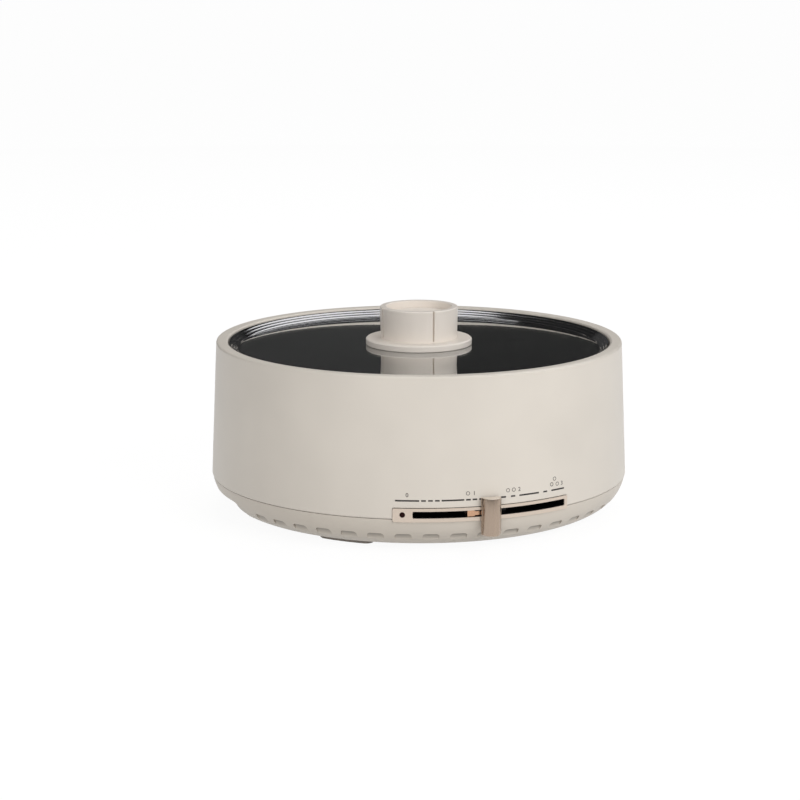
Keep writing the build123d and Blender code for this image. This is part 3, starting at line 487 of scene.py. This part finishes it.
@dataclass(frozen=True)
class TurnedMetal(Finish):
    """Metal with marks that run round the pot's axis, from polishing or turning."""

    roughness: float = 0.12
    pitch: float = 0.0006
    depth: float = 0.000002
    mark_tone: float = 0.97
    smear: float = 0.03
    roughness_shares: Point = (0.8, 1.25)

    def lay(self, surface: Surface) -> None:
        """Give the surface turning marks, and smears that dull it in places.

        Args:
            surface: The surface of the new material.
        """
        place = surface.coordinates()
        rings = surface.rings(place, self.pitch)
        smear = surface.noise(place, self.smear, detail=3.0)
        surface.set("Metallic", 1.0)
        marks = surface.blend(rings, shade(self.colour, self.mark_tone), self.colour)
        surface.feed(marks, "Base Color")
        low, high = (self.roughness * part for part in self.roughness_shares)
        surface.feed(surface.spread(smear, low, high), "Roughness")
        surface.bump(rings, self.depth)


@dataclass(frozen=True)
class ClearGlass(Finish):
    """Clear polished glass with the least trace of wiping."""

    roughness: float = 0.015
    bend: float = 1.5
    polish: float = 1.0
    wipe: float = 0.04
    wipe_stretch: tuple[float, float, float] = (1.0, 0.3, 1.0)
    roughness_shares: Point = (0.4, 1.6)

    def lay(self, surface: Surface) -> None:
        """Give the surface its clearness, its polish and traces of wiping.

        Args:
            surface: The surface of the new material.
        """
        surface.set("Base Color", self.colour)
        surface.set("Transmission Weight", 1.0)
        surface.set("IOR", self.bend)
        surface.set("Coat Weight", self.polish)
        surface.set("Coat Roughness", self.roughness)
        wiping = surface.noise(surface.coordinates(self.wipe_stretch), self.wipe, detail=4.0)
        low, high = (self.roughness * part for part in self.roughness_shares)
        surface.feed(surface.spread(wiping, low, high), "Roughness")


@dataclass(frozen=True)
class Coating(Finish):
    """Dark non-stick coating with a fine speckle."""

    speckle: Colour
    roughness: float = 0.4
    speckle_pitch: float = 0.0035
    speckle_edge: Point = (0.22, 0.12)
    grain: float = 0.0008
    grain_depth: float = 0.00001
    roughness_play: float = 0.06

    def lay(self, surface: Surface) -> None:
        """Give the surface its speckle and a grain.

        Args:
            surface: The surface of the new material.
        """
        place = surface.coordinates()
        dots = surface.mapped(surface.dots(place, self.speckle_pitch), self.speckle_edge)
        surface.feed(surface.blend(dots, self.colour, self.speckle), "Base Color")
        grain = surface.noise(place, self.grain)
        surface.vary(grain, "Roughness", self.roughness, self.roughness_play)
        surface.bump(grain, self.grain_depth)


@dataclass(frozen=True)
class Rubber(Finish):
    """Soft dull rubber or silicone with a powdery unevenness."""

    roughness: float = 0.75
    powder: float = 0.002
    powder_depth: float = 0.00003
    unevenness: float = 0.2
    roughness_ends: Point = (-0.1, 0.05)

    def lay(self, surface: Surface) -> None:
        """Give the surface its powdery look.

        Args:
            surface: The surface of the new material.
        """
        powder = surface.noise(surface.coordinates(), self.powder, detail=4.0)
        surface.feed(surface.uneven(powder, self.colour, self.unevenness), "Base Color")
        low, high = (self.roughness + end for end in self.roughness_ends)
        surface.feed(surface.spread(powder, low, high), "Roughness")
        surface.bump(powder, self.powder_depth)


@dataclass(frozen=True)
class Ink(Finish):
    """Flat printing ink, thinner in places."""

    thin: Colour
    cloud: float = 0.0006
    roughness: float = 0.5

    def lay(self, surface: Surface) -> None:
        """Give the surface its two tones of ink.

        Args:
            surface: The surface of the new material.
        """
        cover = surface.spread(surface.noise(surface.coordinates(), self.cloud, detail=3.0))
        surface.feed(surface.blend(cover, self.colour, self.thin), "Base Color")
        surface.set("Roughness", self.roughness)


class Look(Enum):
    """Every finish on the pot."""

    SHELL = MouldedPlastic(
        "ivory_shell", linear(223, 216, 206),
        # Painted shade on the collar's inner wall above the lid's ring, in the gap between the
        # housing's rim and the ring.
        pockets=PocketShade(
            radius=0.1480, height=0.1240, top=0.1290, lean=0.0, deep=0.0008, darkness=0.8,
        ),
    )
    BASE = MouldedPlastic(
        "ivory_base", linear(214, 206, 195), roughness=0.46,
        # Painted shade in the vents' recesses, full where they go deepest.
        pockets=PocketShade(
            radius=0.1503, height=0.0102, top=0.0163, lean=0.85, deep=0.0024, darkness=0.32,
        ),
    )
    # A paler copy of the ivory: painted light, making up for the bounce light that the knob lacks
    # over the dark glass.
    KNOB = MouldedPlastic("ivory_knob", linear(236, 228, 219), roughness=0.36, grain=0.0003)
    BEZEL = SatinMetal(
        "champagne_bezel", linear(220, 205, 190), 0.36, (0.2, 0.2, 1.0),
        # Painted shade inside the slot, from this radius inwards.
        metallic=0.7, painted_shade_from=0.1600,
    )
    TAB = SatinMetal(
        "champagne_tab", linear(174, 156, 140), 0.24, (1.0, 1.0, 0.0), 0.004,
        line_depth=0.0000005, contrast=0.04, metallic=0.85,
    )
    # A paler, less metallic copy of the tab's champagne for its ends: painted light on the top.
    TAB_LIT_END = SatinMetal(
        "champagne_end_painted_light", linear(232, 221, 208), 0.36, (1.0, 0.2, 1.0), contrast=0.02, metallic=0.3,
    )
    CARRIAGE = SatinMetal(
        "copper_carriage", linear(206, 164, 134), 0.25, (0.3, 0.3, 1.0),
        # Painted shade inside the slot, from this radius inwards.
        contrast=0.03, metallic=0.9, painted_shade_from=0.1540,
    )
    LENS = MouldedPlastic(
        "smoked_lens", linear(34, 9, 7), roughness=0.4, grain_depth=0.0, gloss=0.1,
    )
    GLASS = ClearGlass("clear_glass", linear(232, 236, 234))
    LID_STEEL = TurnedMetal("polished_steel", linear(226, 226, 228), 0.1)
    LINER_STEEL = TurnedMetal("drawn_steel", linear(196, 196, 198), 0.28, 0.0012, 0.000006)
    PLATE = TurnedMetal("turned_casting", linear(190, 190, 193), 0.34, 0.0009, 0.00001)
    COATING = Coating("dark_coating", linear(46, 46, 47), linear(66, 66, 68), 0.5)
    GASKET = Rubber("grey_silicone", linear(70, 70, 70), 0.5)
    # The feet's beige-grey is the base's ivory darkened: painted shade under the base.
    FOOT = Rubber("foot_rubber", linear(158, 150, 143))
    BLACK = MouldedPlastic("black_plastic", linear(22, 21, 21), roughness=0.5)
    # The black plastic of the rail and contact board, darkened further and dulled as painted shade
    # in the slot.
    SLOT_SHADE = MouldedPlastic("slot_painted_shade", linear(7, 6, 6), roughness=0.8, gloss=0.05)
    RELAY = MouldedPlastic("relay_case", linear(36, 62, 96), roughness=0.3)
    BOARD = MouldedPlastic("board_laminate", linear(40, 96, 64), roughness=0.35, unevenness=0.15)
    STEEL = SatinMetal("plain_steel", linear(184, 184, 184), 0.32, (1.0, 1.0, 1.0))
    SCREW = SatinMetal("zinc_plate", linear(200, 200, 204), 0.25, (1.0, 1.0, 1.0))
    BRASS = SatinMetal("brass", linear(212, 176, 104), 0.28, (1.0, 1.0, 1.0))
    CERAMIC = MouldedPlastic("spacer_ceramic", linear(232, 226, 214), roughness=0.6)
    LAMP = MouldedPlastic("lamp_epoxy", linear(214, 120, 70), roughness=0.15, grain_depth=0.0)
    INK = Ink("grey_ink", linear(42, 39, 37), linear(60, 56, 53))
    MARK_INK = Ink("mark_ink", linear(100, 94, 89), linear(120, 114, 109))


class Paintshop:
    """Makes each finish once and puts it on pieces."""

    def __init__(self) -> None:
        """Start with no finish made."""
        self._made: dict[Look, bpy.types.Material] = {}

    def material(self, look: Look) -> bpy.types.Material:
        """Give the material of a finish, made at its first use.

        Args:
            look: The finish.

        Returns:
            Its material.
        """
        if look not in self._made:
            self._made[look] = look.value.build()
        return self._made[look]

    def paint(self, piece: bpy.types.Object, look: Look) -> bpy.types.Object:
        """Put one finish all over a piece.

        Args:
            piece: The piece.
            look: The finish.

        Returns:
            The same piece.
        """
        piece.data.materials.clear()
        piece.data.materials.append(self.material(look))
        return piece

    def paint_nodes(self, look: Look, *names: str) -> None:
        """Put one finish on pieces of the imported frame.

        Args:
            look: The finish.
            *names: The pieces' names.
        """
        for name in names:
            self.paint(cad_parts[name], look)
            LOG.info("painted %s as %s", name, look.name.lower())


# Making pieces


def piece_from(mesh: bmesh.types.BMesh, name: str, smooth: bool = True) -> bpy.types.Object:
    """Turn a finished bmesh into an object of the scene.

    Args:
        mesh: The bmesh, which is freed.
        name: The piece's name.
        smooth: True where its faces shade as one rounded surface, with sharp edges kept.

    Returns:
        The new object, at the origin.
    """
    bmesh.ops.remove_doubles(mesh, verts=mesh.verts, dist=MERGE_DISTANCE)
    bmesh.ops.recalc_face_normals(mesh, faces=mesh.faces)
    inside_out = mesh.calc_volume(signed=True) < 0
    if inside_out:
        bmesh.ops.reverse_faces(mesh, faces=mesh.faces)
    data = bpy.data.meshes.new(name)
    mesh.to_mesh(data)
    mesh.free()
    piece = bpy.data.objects.new(name, data)
    bpy.context.scene.collection.objects.link(piece)
    if smooth:
        data.shade_smooth()
        data.set_sharp_from_angle(angle=SHARP_ANGLE)
    return piece


def turned(outline: Sequence[Point], name: str, steps: int = 256) -> bpy.types.Object:
    """Spin a closed outline round the pot's axis.

    Args:
        outline: Radii and heights of its corners, in order.
        name: The piece's name.
        steps: Number of sides round the axis.

    Returns:
        The new ring.
    """
    mesh = bmesh.new()
    corners = [mesh.verts.new((radius, 0, height)) for radius, height in outline]
    edges = [mesh.edges.new(pair) for pair in zip(corners, corners[1:] + corners[:1])]
    bmesh.ops.spin(
        mesh, geom=corners + edges, cent=(0, 0, 0), axis=(0, 0, 1), angle=FULL_TURN,
        steps=steps, use_merge=True, use_duplicate=False,
    )
    return piece_from(mesh, name)


def arc(centre: Point, radius: float, start: float, end: float, steps: int) -> list[Point]:
    """Give the points of an arc in an outline.

    Args:
        centre: Radius and height of the arc's centre.
        radius: The arc's own radius.
        start: Angle of its first point in degrees, 0 outwards and 90 upwards.
        end: Angle of its last point.
        steps: Number of chords.

    Returns:
        The points, first to last.
    """
    angles = [math.radians(start + (end - start) * step / steps) for step in range(steps + 1)]
    return [(centre[0] + radius * math.cos(a), centre[1] + radius * math.sin(a)) for a in angles]


def curved_bar(
    mesh: bmesh.types.BMesh, section: Sequence[Point], start: float, sweep: float
) -> None:
    """Add a bar that runs some way round the pot's axis.

    Args:
        mesh: The bmesh that takes it.
        section: Radii and heights of its section's corners, in order.
        start: Angle of its left end from the front.
        sweep: Its length in degrees.
    """
    corners = [mesh.verts.new(on_ring(radius, start, height)) for radius, height in section]
    face = mesh.faces.new(corners)
    bmesh.ops.spin(
        mesh, geom=[face], cent=(0, 0, 0), axis=(0, 0, 1), angle=math.radians(sweep),
        steps=max(2, round(sweep * STEPS_PER_DEGREE)), use_duplicate=False,
    )


# The pot's own sub-assemblies


@dataclass
class Housing:
    """Shell, base, feet and everything mounted in them, the sprung sensor too."""

    shop: Paintshop

    def dress(self) -> None:
        """Paint the pieces."""
        paint = self.shop.paint_nodes
        paint(Look.SHELL, "housing_shell")
        paint(Look.BASE, "base_cover")
        paint(Look.FOOT, "foot_front_left", "foot_front_right", "foot_rear_left", "foot_rear_right")
        paint(Look.LINER_STEEL, "inner_liner")
        paint(Look.PLATE, "heating_plate")
        paint(Look.STEEL, "heating_tube", "weld_nuts", "sensor_cap", "sensor_seat", "sensor_spring")
        paint(Look.SCREW, "base_screws", "plate_screws", "board_screws", "rail_screws")
        paint(Look.CERAMIC, "plate_spacers")
        paint(Look.BLACK, "safety_thermostat", "terminal_block", "power_inlet")
        # The rail and contact board behind the slot take the painted shade of the slot.
        paint(Look.SLOT_SHADE, "slider_rail", "contact_board")
        paint(Look.BOARD, "control_board")
        paint(Look.RELAY, "power_relay")
        paint(Look.BRASS, "inlet_pins", "wiper_contact")
        paint(Look.LENS, "indicator_lens")
        paint(Look.LAMP, "indicator_lamp")


@dataclass
class HeatSlider:
    """The bezel in the front, with the tab and its carriage.

    Two dark strips along the carriage's face are painted shade where two narrow cut lines are,
    placed with the slider at rest.
    """

    shop: Paintshop
    plate_thickness: float = 0.0020
    side_step: float = 0.0007
    edge: float = 0.0006
    edge_steps: int = 3
    bar_steps: int = 40
    end_slope: float = 0.6
    carriage_face: float = 0.1594
    cut_start: float = -3.8
    cut_sweep: float = 1.8
    cut_heights: tuple[float, float] = (0.02885, 0.03295)
    cut_width: float = 0.0008
    cut_stand: float = 0.00005

    def tab(self) -> bpy.types.Object:
        """Make the tab: a half-round bar on a thin flat back, with softened ends in a paler copy of
        its finish, which is painted light.

        Returns:
            The painted tab.
        """
        low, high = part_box("slider_tab")
        middle = (low[0] + high[0]) / 2
        bar = (high[0] - low[0]) / 2 - self.side_step
        front = high[1] - self.plate_thickness
        mesh = bmesh.new()
        first = mesh.verts.new((middle + bar, front, low[2]))
        spun = bmesh.ops.spin(
            mesh, geom=[first], cent=(middle, front, 0), axis=(0, 0, 1), angle=-math.pi,
            steps=self.bar_steps, use_duplicate=False,
        )
        last = next(part for part in spun["geom_last"] if isinstance(part, bmesh.types.BMVert))
        backs = [
            mesh.verts.new((middle + side * reach, depth, low[2]))
            for side, reach, depth in (
                (-1, bar + self.side_step, front), (-1, bar + self.side_step, high[1]),
                (1, bar + self.side_step, high[1]), (1, bar + self.side_step, front),
            )
        ]
        chain = [last, *backs, first]
        for start, end in zip(chain, chain[1:]):
            mesh.edges.new((start, end))
        sole = bmesh.ops.edgeloop_fill(mesh, edges=mesh.edges[:])["faces"]
        raised = bmesh.ops.extrude_face_region(mesh, geom=sole, use_keep_orig=True)
        tops = [part for part in raised["geom"] if isinstance(part, bmesh.types.BMVert)]
        bmesh.ops.translate(mesh, verts=tops, vec=(0, 0, high[2] - low[2]))
        ends = [
            edge for edge in mesh.edges
            if abs(edge.verts[0].co.z - edge.verts[1].co.z) < LEVEL_TOLERANCE
        ]
        bmesh.ops.bevel(
            mesh, geom=ends, offset=self.edge, offset_type="OFFSET", affect="EDGES",
            segments=self.edge_steps, profile=0.5, material=-1, clamp_overlap=True,
        )
        tab = piece_from(mesh, "tab")
        self.shop.paint(tab, Look.TAB)
        # The top and bottom ends take the paler copy of the finish: painted light.
        tab.data.materials.append(self.shop.material(Look.TAB_LIT_END))
        for face in tab.data.polygons:
            face.material_index = int(abs(face.normal.z) > self.end_slope)
        return tab

    def carriage_cut_shadows(self) -> bpy.types.Object:
        """Make two dark strips along the carriage's face, beside the tab: painted shade of two cut
        lines.

        Returns:
            Both strips as one piece.
        """
        mesh = bmesh.new()
        for height in self.cut_heights:
            section = [
                (self.carriage_face + out * self.cut_stand, height + up * self.cut_width / 2)
                for out, up in ((-1, -1), (1, -1), (1, 1), (-1, 1))
            ]
            curved_bar(mesh, section, self.cut_start, self.cut_sweep)
        return piece_from(mesh, "carriage_cut_shadows", smooth=False)

    def dress(self) -> None:
        """Paint the bezel and what slides in it, and put the finer tab in its place."""
        self.shop.paint_nodes(Look.BEZEL, "slider_bezel")
        self.shop.paint_nodes(Look.CARRIAGE, "slider_carriage")
        tab = self.tab()
        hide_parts("slider_tab")
        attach(tab, "heat_slider")
        # Near-black strips on the carriage: painted shade of two cut lines.
        cut_shadows = self.shop.paint(self.carriage_cut_shadows(), Look.SLOT_SHADE)
        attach(cut_shadows, "heat_slider")
        LOG.info("made %s and %s", tab.name, cut_shadows.name)


@dataclass
class ScalePrint:
    """The dashed heat scale over the slider, with its marks.

    Places along it are angles from the camera's own direction, which lies to the left of the
    front by the angle called facing.
    """

    shop: Paintshop
    facing: float = 18.35
    line_height: float = 0.0411
    line_width: float = 0.00115
    ink_thickness: float = 0.00003
    dashes: tuple[Point, ...] = (
        (-6.04, 6.19), (0.66, 1.19), (2.45, 1.19), (4.20, 1.20), (5.91, 5.88),
        (12.28, 1.23), (13.99, 1.20), (15.73, 1.20), (17.45, 2.90),
        (21.75, 1.37), (24.55, 1.25), (26.98, 5.98), (34.41, 1.26), (37.08, 4.42),
    )
    numbers: tuple[tuple[str, float, float], ...] = (
        ("0", -2.97, 0.0451), ("1", 14.45, 0.0455), ("2", 27.00, 0.0455), ("3", 40.74, 0.0450),
    )
    rings: tuple[Point, ...] = (
        (12.77, 0.0457), (23.71, 0.0457), (25.39, 0.0457),
        (37.22, 0.0455), (39.13, 0.0452), (38.23, 0.0493),
    )
    mark_size: float = 0.0030
    stroke: float = 0.00045
    ring_steps: int = 24
    digit_share: float = 1.4
    boldness: float = 0.00006
    shell_low: Point = (0.160, 0.0284)
    shell_high: Point = (0.1555, 0.1303)

    def surface_radius(self, height: float) -> float:
        """Give the radius of the housing's tapered side at a height."""
        share = (height - self.shell_low[1]) / (self.shell_high[1] - self.shell_low[1])
        return self.shell_low[0] + share * (self.shell_high[0] - self.shell_low[0])

    def dash(self, mesh: bmesh.types.BMesh, start: float, sweep: float) -> None:
        """Add one curved dash that lies on the housing.

        Args:
            mesh: The bmesh that takes it.
            start: Angle of its left end, from the camera's own direction.
            sweep: Its length in degrees.
        """
        low, high = (self.line_height + side * self.line_width / 2 for side in (-1, 1))
        section = [
            (self.surface_radius(height) + lift * self.ink_thickness, height)
            for height, lift in ((low, -1), (low, 1), (high, 1), (high, -1))
        ]
        curved_bar(mesh, section, start - self.facing, sweep)

    def line(self) -> bpy.types.Object:
        """Make the whole dashed line as one piece.

        Returns:
            The line.
        """
        mesh = bmesh.new()
        for start, sweep in self.dashes:
            self.dash(mesh, start, sweep)
        return piece_from(mesh, "scale_line", smooth=False)

    def onto_housing(self, piece: bpy.types.Object, angle: float, height: float) -> None:
        """Move a flat mark onto the housing.

        Args:
            piece: A mesh in its own XY plane, X to the right.
            angle: Its place, from the camera's own direction.
            height: Its height over the feet's plane.
        """
        turn = angle - self.facing
        lean = math.atan2(
            self.shell_low[0] - self.shell_high[0], self.shell_high[1] - self.shell_low[1]
        )
        place = Matrix.Translation(on_ring(self.surface_radius(height), turn, height))
        upright = Matrix.Rotation(math.radians(turn), 4, "Z") @ Matrix.Rotation(
            math.pi / 2 - lean, 4, "X"
        )
        piece.data.transform(place @ upright)

    def ring(self, name: str, angle: float, height: float) -> bpy.types.Object:
        """Make one small ring mark.

        Args:
            name: The piece's name.
            angle: Its place, from the camera's own direction.
            height: Its height over the feet's plane.

        Returns:
            The mark.
        """
        mesh = bmesh.new()
        outer = self.mark_size / 2
        inner = outer - self.stroke
        flat = [
            mesh.verts.new((radius, 0, side * self.ink_thickness))
            for radius, side in ((inner, -1), (outer, -1), (outer, 1), (inner, 1))
        ]
        edges = [mesh.edges.new(pair) for pair in zip(flat, flat[1:] + flat[:1])]
        bmesh.ops.spin(
            mesh, geom=flat + edges, cent=(0, 0, 0), axis=(0, 0, 1), angle=FULL_TURN,
            steps=self.ring_steps, use_merge=True, use_duplicate=False,
        )
        piece = piece_from(mesh, name, smooth=False)
        self.onto_housing(piece, angle, height)
        return piece

    def digit(self, text: str, angle: float, height: float) -> bpy.types.Object:
        """Make one printed number.

        Args:
            text: The number.
            angle: Its place, from the camera's own direction.
            height: Its height over the feet's plane.

        Returns:
            The mark.
        """
        curve = bpy.data.curves.new("digit_curve", "FONT")
        curve.body = text
        curve.size = self.mark_size * self.digit_share
        curve.extrude = self.ink_thickness
        curve.offset = self.boldness
        curve.align_x = "CENTER"
        curve.align_y = "CENTER"
        holder = bpy.data.objects.new("digit_holder", curve)
        bpy.context.scene.collection.objects.link(holder)
        data = bpy.data.meshes.new_from_object(holder)
        bpy.data.objects.remove(holder)
        data.materials.clear()
        piece = bpy.data.objects.new(f"mark_{text}", data)
        bpy.context.scene.collection.objects.link(piece)
        self.onto_housing(piece, angle, height)
        return piece

    def dress(self) -> None:
        """Make the print and let it ride on the housing."""
        pieces = [self.shop.paint(self.line(), Look.INK)]
        for text, angle, height in self.numbers:
            pieces.append(self.shop.paint(self.digit(text, angle, height), Look.MARK_INK))
        for index, (angle, height) in enumerate(self.rings, start=1):
            mark = self.ring(f"mark_ring_{index}", angle, height)
            pieces.append(self.shop.paint(mark, Look.MARK_INK))
        for piece in pieces:
            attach(piece, "housing")
            LOG.info("printed %s", piece.name)


@dataclass
class InnerPot:
    """The lift-out pot."""

    shop: Paintshop

    def dress(self) -> None:
        """Paint the pot."""
        self.shop.paint_nodes(Look.COATING, "inner_pot")


@dataclass
class Lid:
    """The flat glass in its steel ring, with the knob.

    The ring goes down to the glass in bulging steps, each given by its outer upper corner.
    """

    shop: Paintshop
    ring_wall: float = 0.0007
    hem_width: float = 0.0050
    window: float = 0.1388
    glass_height: float = 0.1240
    bulge_radius: float = 0.0102
    bulge_lean: Point = (112.0, 126.0)
    bulge_steps: int = 8
    steps: tuple[Point, ...] = ((0.1455, 0.1288), (0.1433, 0.1273), (0.1411, 0.1257))

    def bulge(self, radius: float, height: float) -> list[Point]:
        """Give the outline of one step.

        Args:
            radius: Radius of the step's outer upper corner.
            height: Height of that corner.

        Returns:
            Its points, from that corner inwards.
        """
        start, end = self.bulge_lean
        lean = math.radians(start)
        centre = (
            radius - self.bulge_radius * math.cos(lean),
            height - self.bulge_radius * math.sin(lean),
        )
        return arc(centre, self.bulge_radius, start, end, self.bulge_steps)

    def steel_ring(self) -> bpy.types.Object:
        """Make the ring that holds the glass, with bulging steps down to the glass.

        Returns:
            The ring.
        """
        low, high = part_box("lid_rim")
        outer, foot = high[0], low[2]
        inner, hem = outer - self.ring_wall, outer - self.hem_width
        return turned(
            [
                (outer, foot),
                (outer, self.steps[0][1]),
                *(point for corner in self.steps for point in self.bulge(*corner)),
                (self.window, self.glass_height),
                (inner, self.glass_height),
                (inner, foot + self.ring_wall),
                (hem, foot + self.ring_wall),
                (hem, foot),
            ],
            "steel_ring",
        )

    def dress(self) -> None:
        """Paint the lid's pieces and put the stepped ring in its place."""
        paint = self.shop.paint_nodes
        paint(Look.GLASS, "lid_glass")
        ring = self.shop.paint(self.steel_ring(), Look.LID_STEEL)
        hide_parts("lid_rim")
        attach(ring, "lid")
        LOG.info("made %s", ring.name)
        paint(Look.GASKET, "lid_gasket")
        paint(Look.KNOB, "knob_flange", "knob_cup")
        paint(Look.STEEL, "knob_washer")
        paint(Look.SCREW, "knob_screw")


# Studio


@dataclass
class SoftBox:
    """One large soft lamp, which gloss doesn't see."""

    name: str
    angle: float
    distance: float
    height: float
    width: float
    tall: float
    watts: float
    tint: Colour = (1.0, 1.0, 1.0)

    def hang(self, target: Vector) -> None:
        """Hang the lamp.

        Args:
            target: The point that it is turned to.
        """
        data = bpy.data.lights.new(self.name, "AREA")
        data.shape = "RECTANGLE"
        data.size = self.width
        data.size_y = self.tall
        data.energy = self.watts
        data.color = self.tint
        lamp = bpy.data.objects.new(self.name, data)
        lamp.location = on_ring(self.distance, self.angle, self.height)
        lamp.rotation_euler = (target - lamp.location).to_track_quat("-Z", "Y").to_euler()
        lamp.visible_glossy = False
        bpy.context.scene.collection.objects.link(lamp)


@dataclass
class Flag:
    """A dark screen far round the pot that only gloss and glass can see."""

    name: str
    distance: float
    top: float
    start: float
    sweep: float
    tone: float
    foot: float = -0.4
    degrees_per_step: float = 4.0

    def stand(self) -> None:
        """Stand the screen in its place, from its first end round to the right."""
        mesh = bmesh.new()
        foot, head = (
            mesh.verts.new(on_ring(self.distance, self.start, height))
            for height in (self.foot, self.top)
        )
        post = mesh.edges.new((foot, head))
        bmesh.ops.spin(
            mesh, geom=[foot, head, post], cent=(0, 0, 0), axis=(0, 0, 1),
            angle=math.radians(self.sweep), steps=round(self.sweep / self.degrees_per_step),
            use_duplicate=False,
        )
        flag = piece_from(mesh, self.name, smooth=False)
        surface = Surface(self.name)
        surface.set("Base Color", (self.tone, self.tone, self.tone))
        surface.set("Roughness", 1.0)
        flag.data.materials.append(surface.material)
        flag.visible_camera = False
        flag.visible_diffuse = False
        flag.visible_shadow = False


@dataclass
class Studio:
    """Floor, pale surroundings, dark screens, lamps and camera."""

    aim: Vector = field(default_factory=lambda: Vector((0, 0, 0.07)))
    fill: float = 0.43
    floor_radius: float = 12.0
    floor_steps: int = 64
    floor_tone: float = 0.78
    floor_roughness: float = 0.9
    floor_glow: float = 1.08
    floor_glow_share: float = 0.86
    flag_distance: float = 2.8
    flag_high: float = 1.15
    left_tone: float = 0.06
    right_tone: float = 0.035
    tall_flag_gap: float = 0.1
    tall_flag_high: float = 5.6
    tall_flag_lead: float = 18.0
    tall_flag_sweep: float = 121.0
    tall_tone: float = 0.012
    camera_turn: float = -18.35
    camera_distance: float = 1.780
    camera_height: float = 0.450
    camera_pitch: float = 11.70
    camera_yaw: float = 0.467
    camera_lens: float = 105.7
    camera_reach: Point = (0.05, 60.0)
    sensor: float = 36.0

    def surroundings(self) -> None:
        """Make the world: white to the camera and in gloss, a plain fill for the rest."""
        world = bpy.data.worlds.new("pale_world")
        world.use_nodes = True
        bpy.context.scene.world = world
        sheet = NodeSheet(world.node_tree)
        background = sheet.nodes["Background"]
        background.inputs["Color"].default_value = (1, 1, 1, 1)
        strength = sheet.mapped(sheet.seen_or_mirrored(), (0.0, 1.0), (self.fill, 1.0))
        sheet.links.new(strength, background.inputs["Strength"])

    def floor(self) -> None:
        """Lay the pale floor, which keeps a faint shadow."""
        mesh = bmesh.new()
        bmesh.ops.create_circle(
            mesh, cap_ends=True, segments=self.floor_steps, radius=self.floor_radius
        )
        floor = piece_from(mesh, "studio_floor", smooth=False)
        surface = Surface("pale_floor")
        surface.set("Base Color", (self.floor_tone, self.floor_tone, self.floor_tone))
        surface.set("Roughness", self.floor_roughness)
        glow = surface.nodes.new("ShaderNodeEmission")
        glow.inputs["Strength"].default_value = self.floor_glow
        share = surface.calculated("MULTIPLY", surface.seen_or_mirrored(), self.floor_glow_share)
        mix = surface.nodes.new("ShaderNodeMixShader")
        surface.links.new(share, mix.inputs["Fac"])
        surface.links.new(surface.principled.outputs[0], mix.inputs[1])
        surface.links.new(glow.outputs[0], mix.inputs[2])
        surface.links.new(mix.outputs[0], surface.nodes["Material Output"].inputs["Surface"])
        floor.data.materials.append(surface.material)

    def flags(self) -> None:
        """Stand the dark screens: one to each side, and a tall one over the back and the left."""
        behind = self.camera_turn - 180
        far, high = self.flag_distance, self.flag_high
        for flag in (
            Flag("left_flag", far, high, behind, 180, self.left_tone),
            Flag("right_flag", far, high, behind - 180, 180, self.right_tone),
            Flag(
                "tall_flag", far + self.tall_flag_gap, self.tall_flag_high,
                behind - self.tall_flag_lead, self.tall_flag_sweep, self.tall_tone,
            ),
        ):
            flag.stand()

    def lamps(self) -> None:
        """Hang the soft lamps: the main one right, a warmer one left and one over the back."""
        for box in (
            SoftBox(
                "key", angle=25.0, distance=2.2, height=1.3, width=1.6, tall=1.2, watts=23.0,
                tint=(0.995, 0.997, 1.0),
            ),
            SoftBox(
                "front", angle=-27.0, distance=2.6, height=0.7, width=1.6, tall=0.8, watts=12.5,
                tint=(1.0, 0.965, 0.925),
            ),
            SoftBox(
                "top", angle=150.0, distance=1.2, height=2.2, width=1.6, tall=1.6, watts=15.0,
            ),
        ):
            box.hang(self.aim)

    def camera(self) -> None:
        """Set up the camera at the photograph's viewing angle."""
        data = bpy.data.cameras.new("camera")
        data.lens = self.camera_lens
        data.sensor_width = self.sensor
        data.clip_start, data.clip_end = self.camera_reach
        camera = bpy.data.objects.new("camera", data)
        camera.location = on_ring(self.camera_distance, self.camera_turn, self.camera_height)
        pitch, turn = 90 - self.camera_pitch, self.camera_turn + self.camera_yaw
        camera.rotation_euler = (math.radians(pitch), 0, math.radians(turn))
        bpy.context.scene.collection.objects.link(camera)
        bpy.context.scene.camera = camera

    def build(self) -> None:
        """Make the whole studio."""
        self.surroundings()
        self.floor()
        self.flags()
        self.lamps()
        self.camera()
        bpy.context.scene.view_settings.view_transform = "Standard"


def main() -> None:
    """Dress the pot and build the studio."""
    logging.basicConfig(level=logging.INFO, format="%(name)s: %(message)s")
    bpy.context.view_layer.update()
    shop = Paintshop()
    sub_assemblies: list[Callable[[], None]] = [
        Housing(shop).dress,
        HeatSlider(shop).dress,
        ScalePrint(shop).dress,
        InnerPot(shop).dress,
        Lid(shop).dress,
    ]
    for dress in sub_assemblies:
        dress()
    Studio().build()


if __name__ == "__main__":
    main()
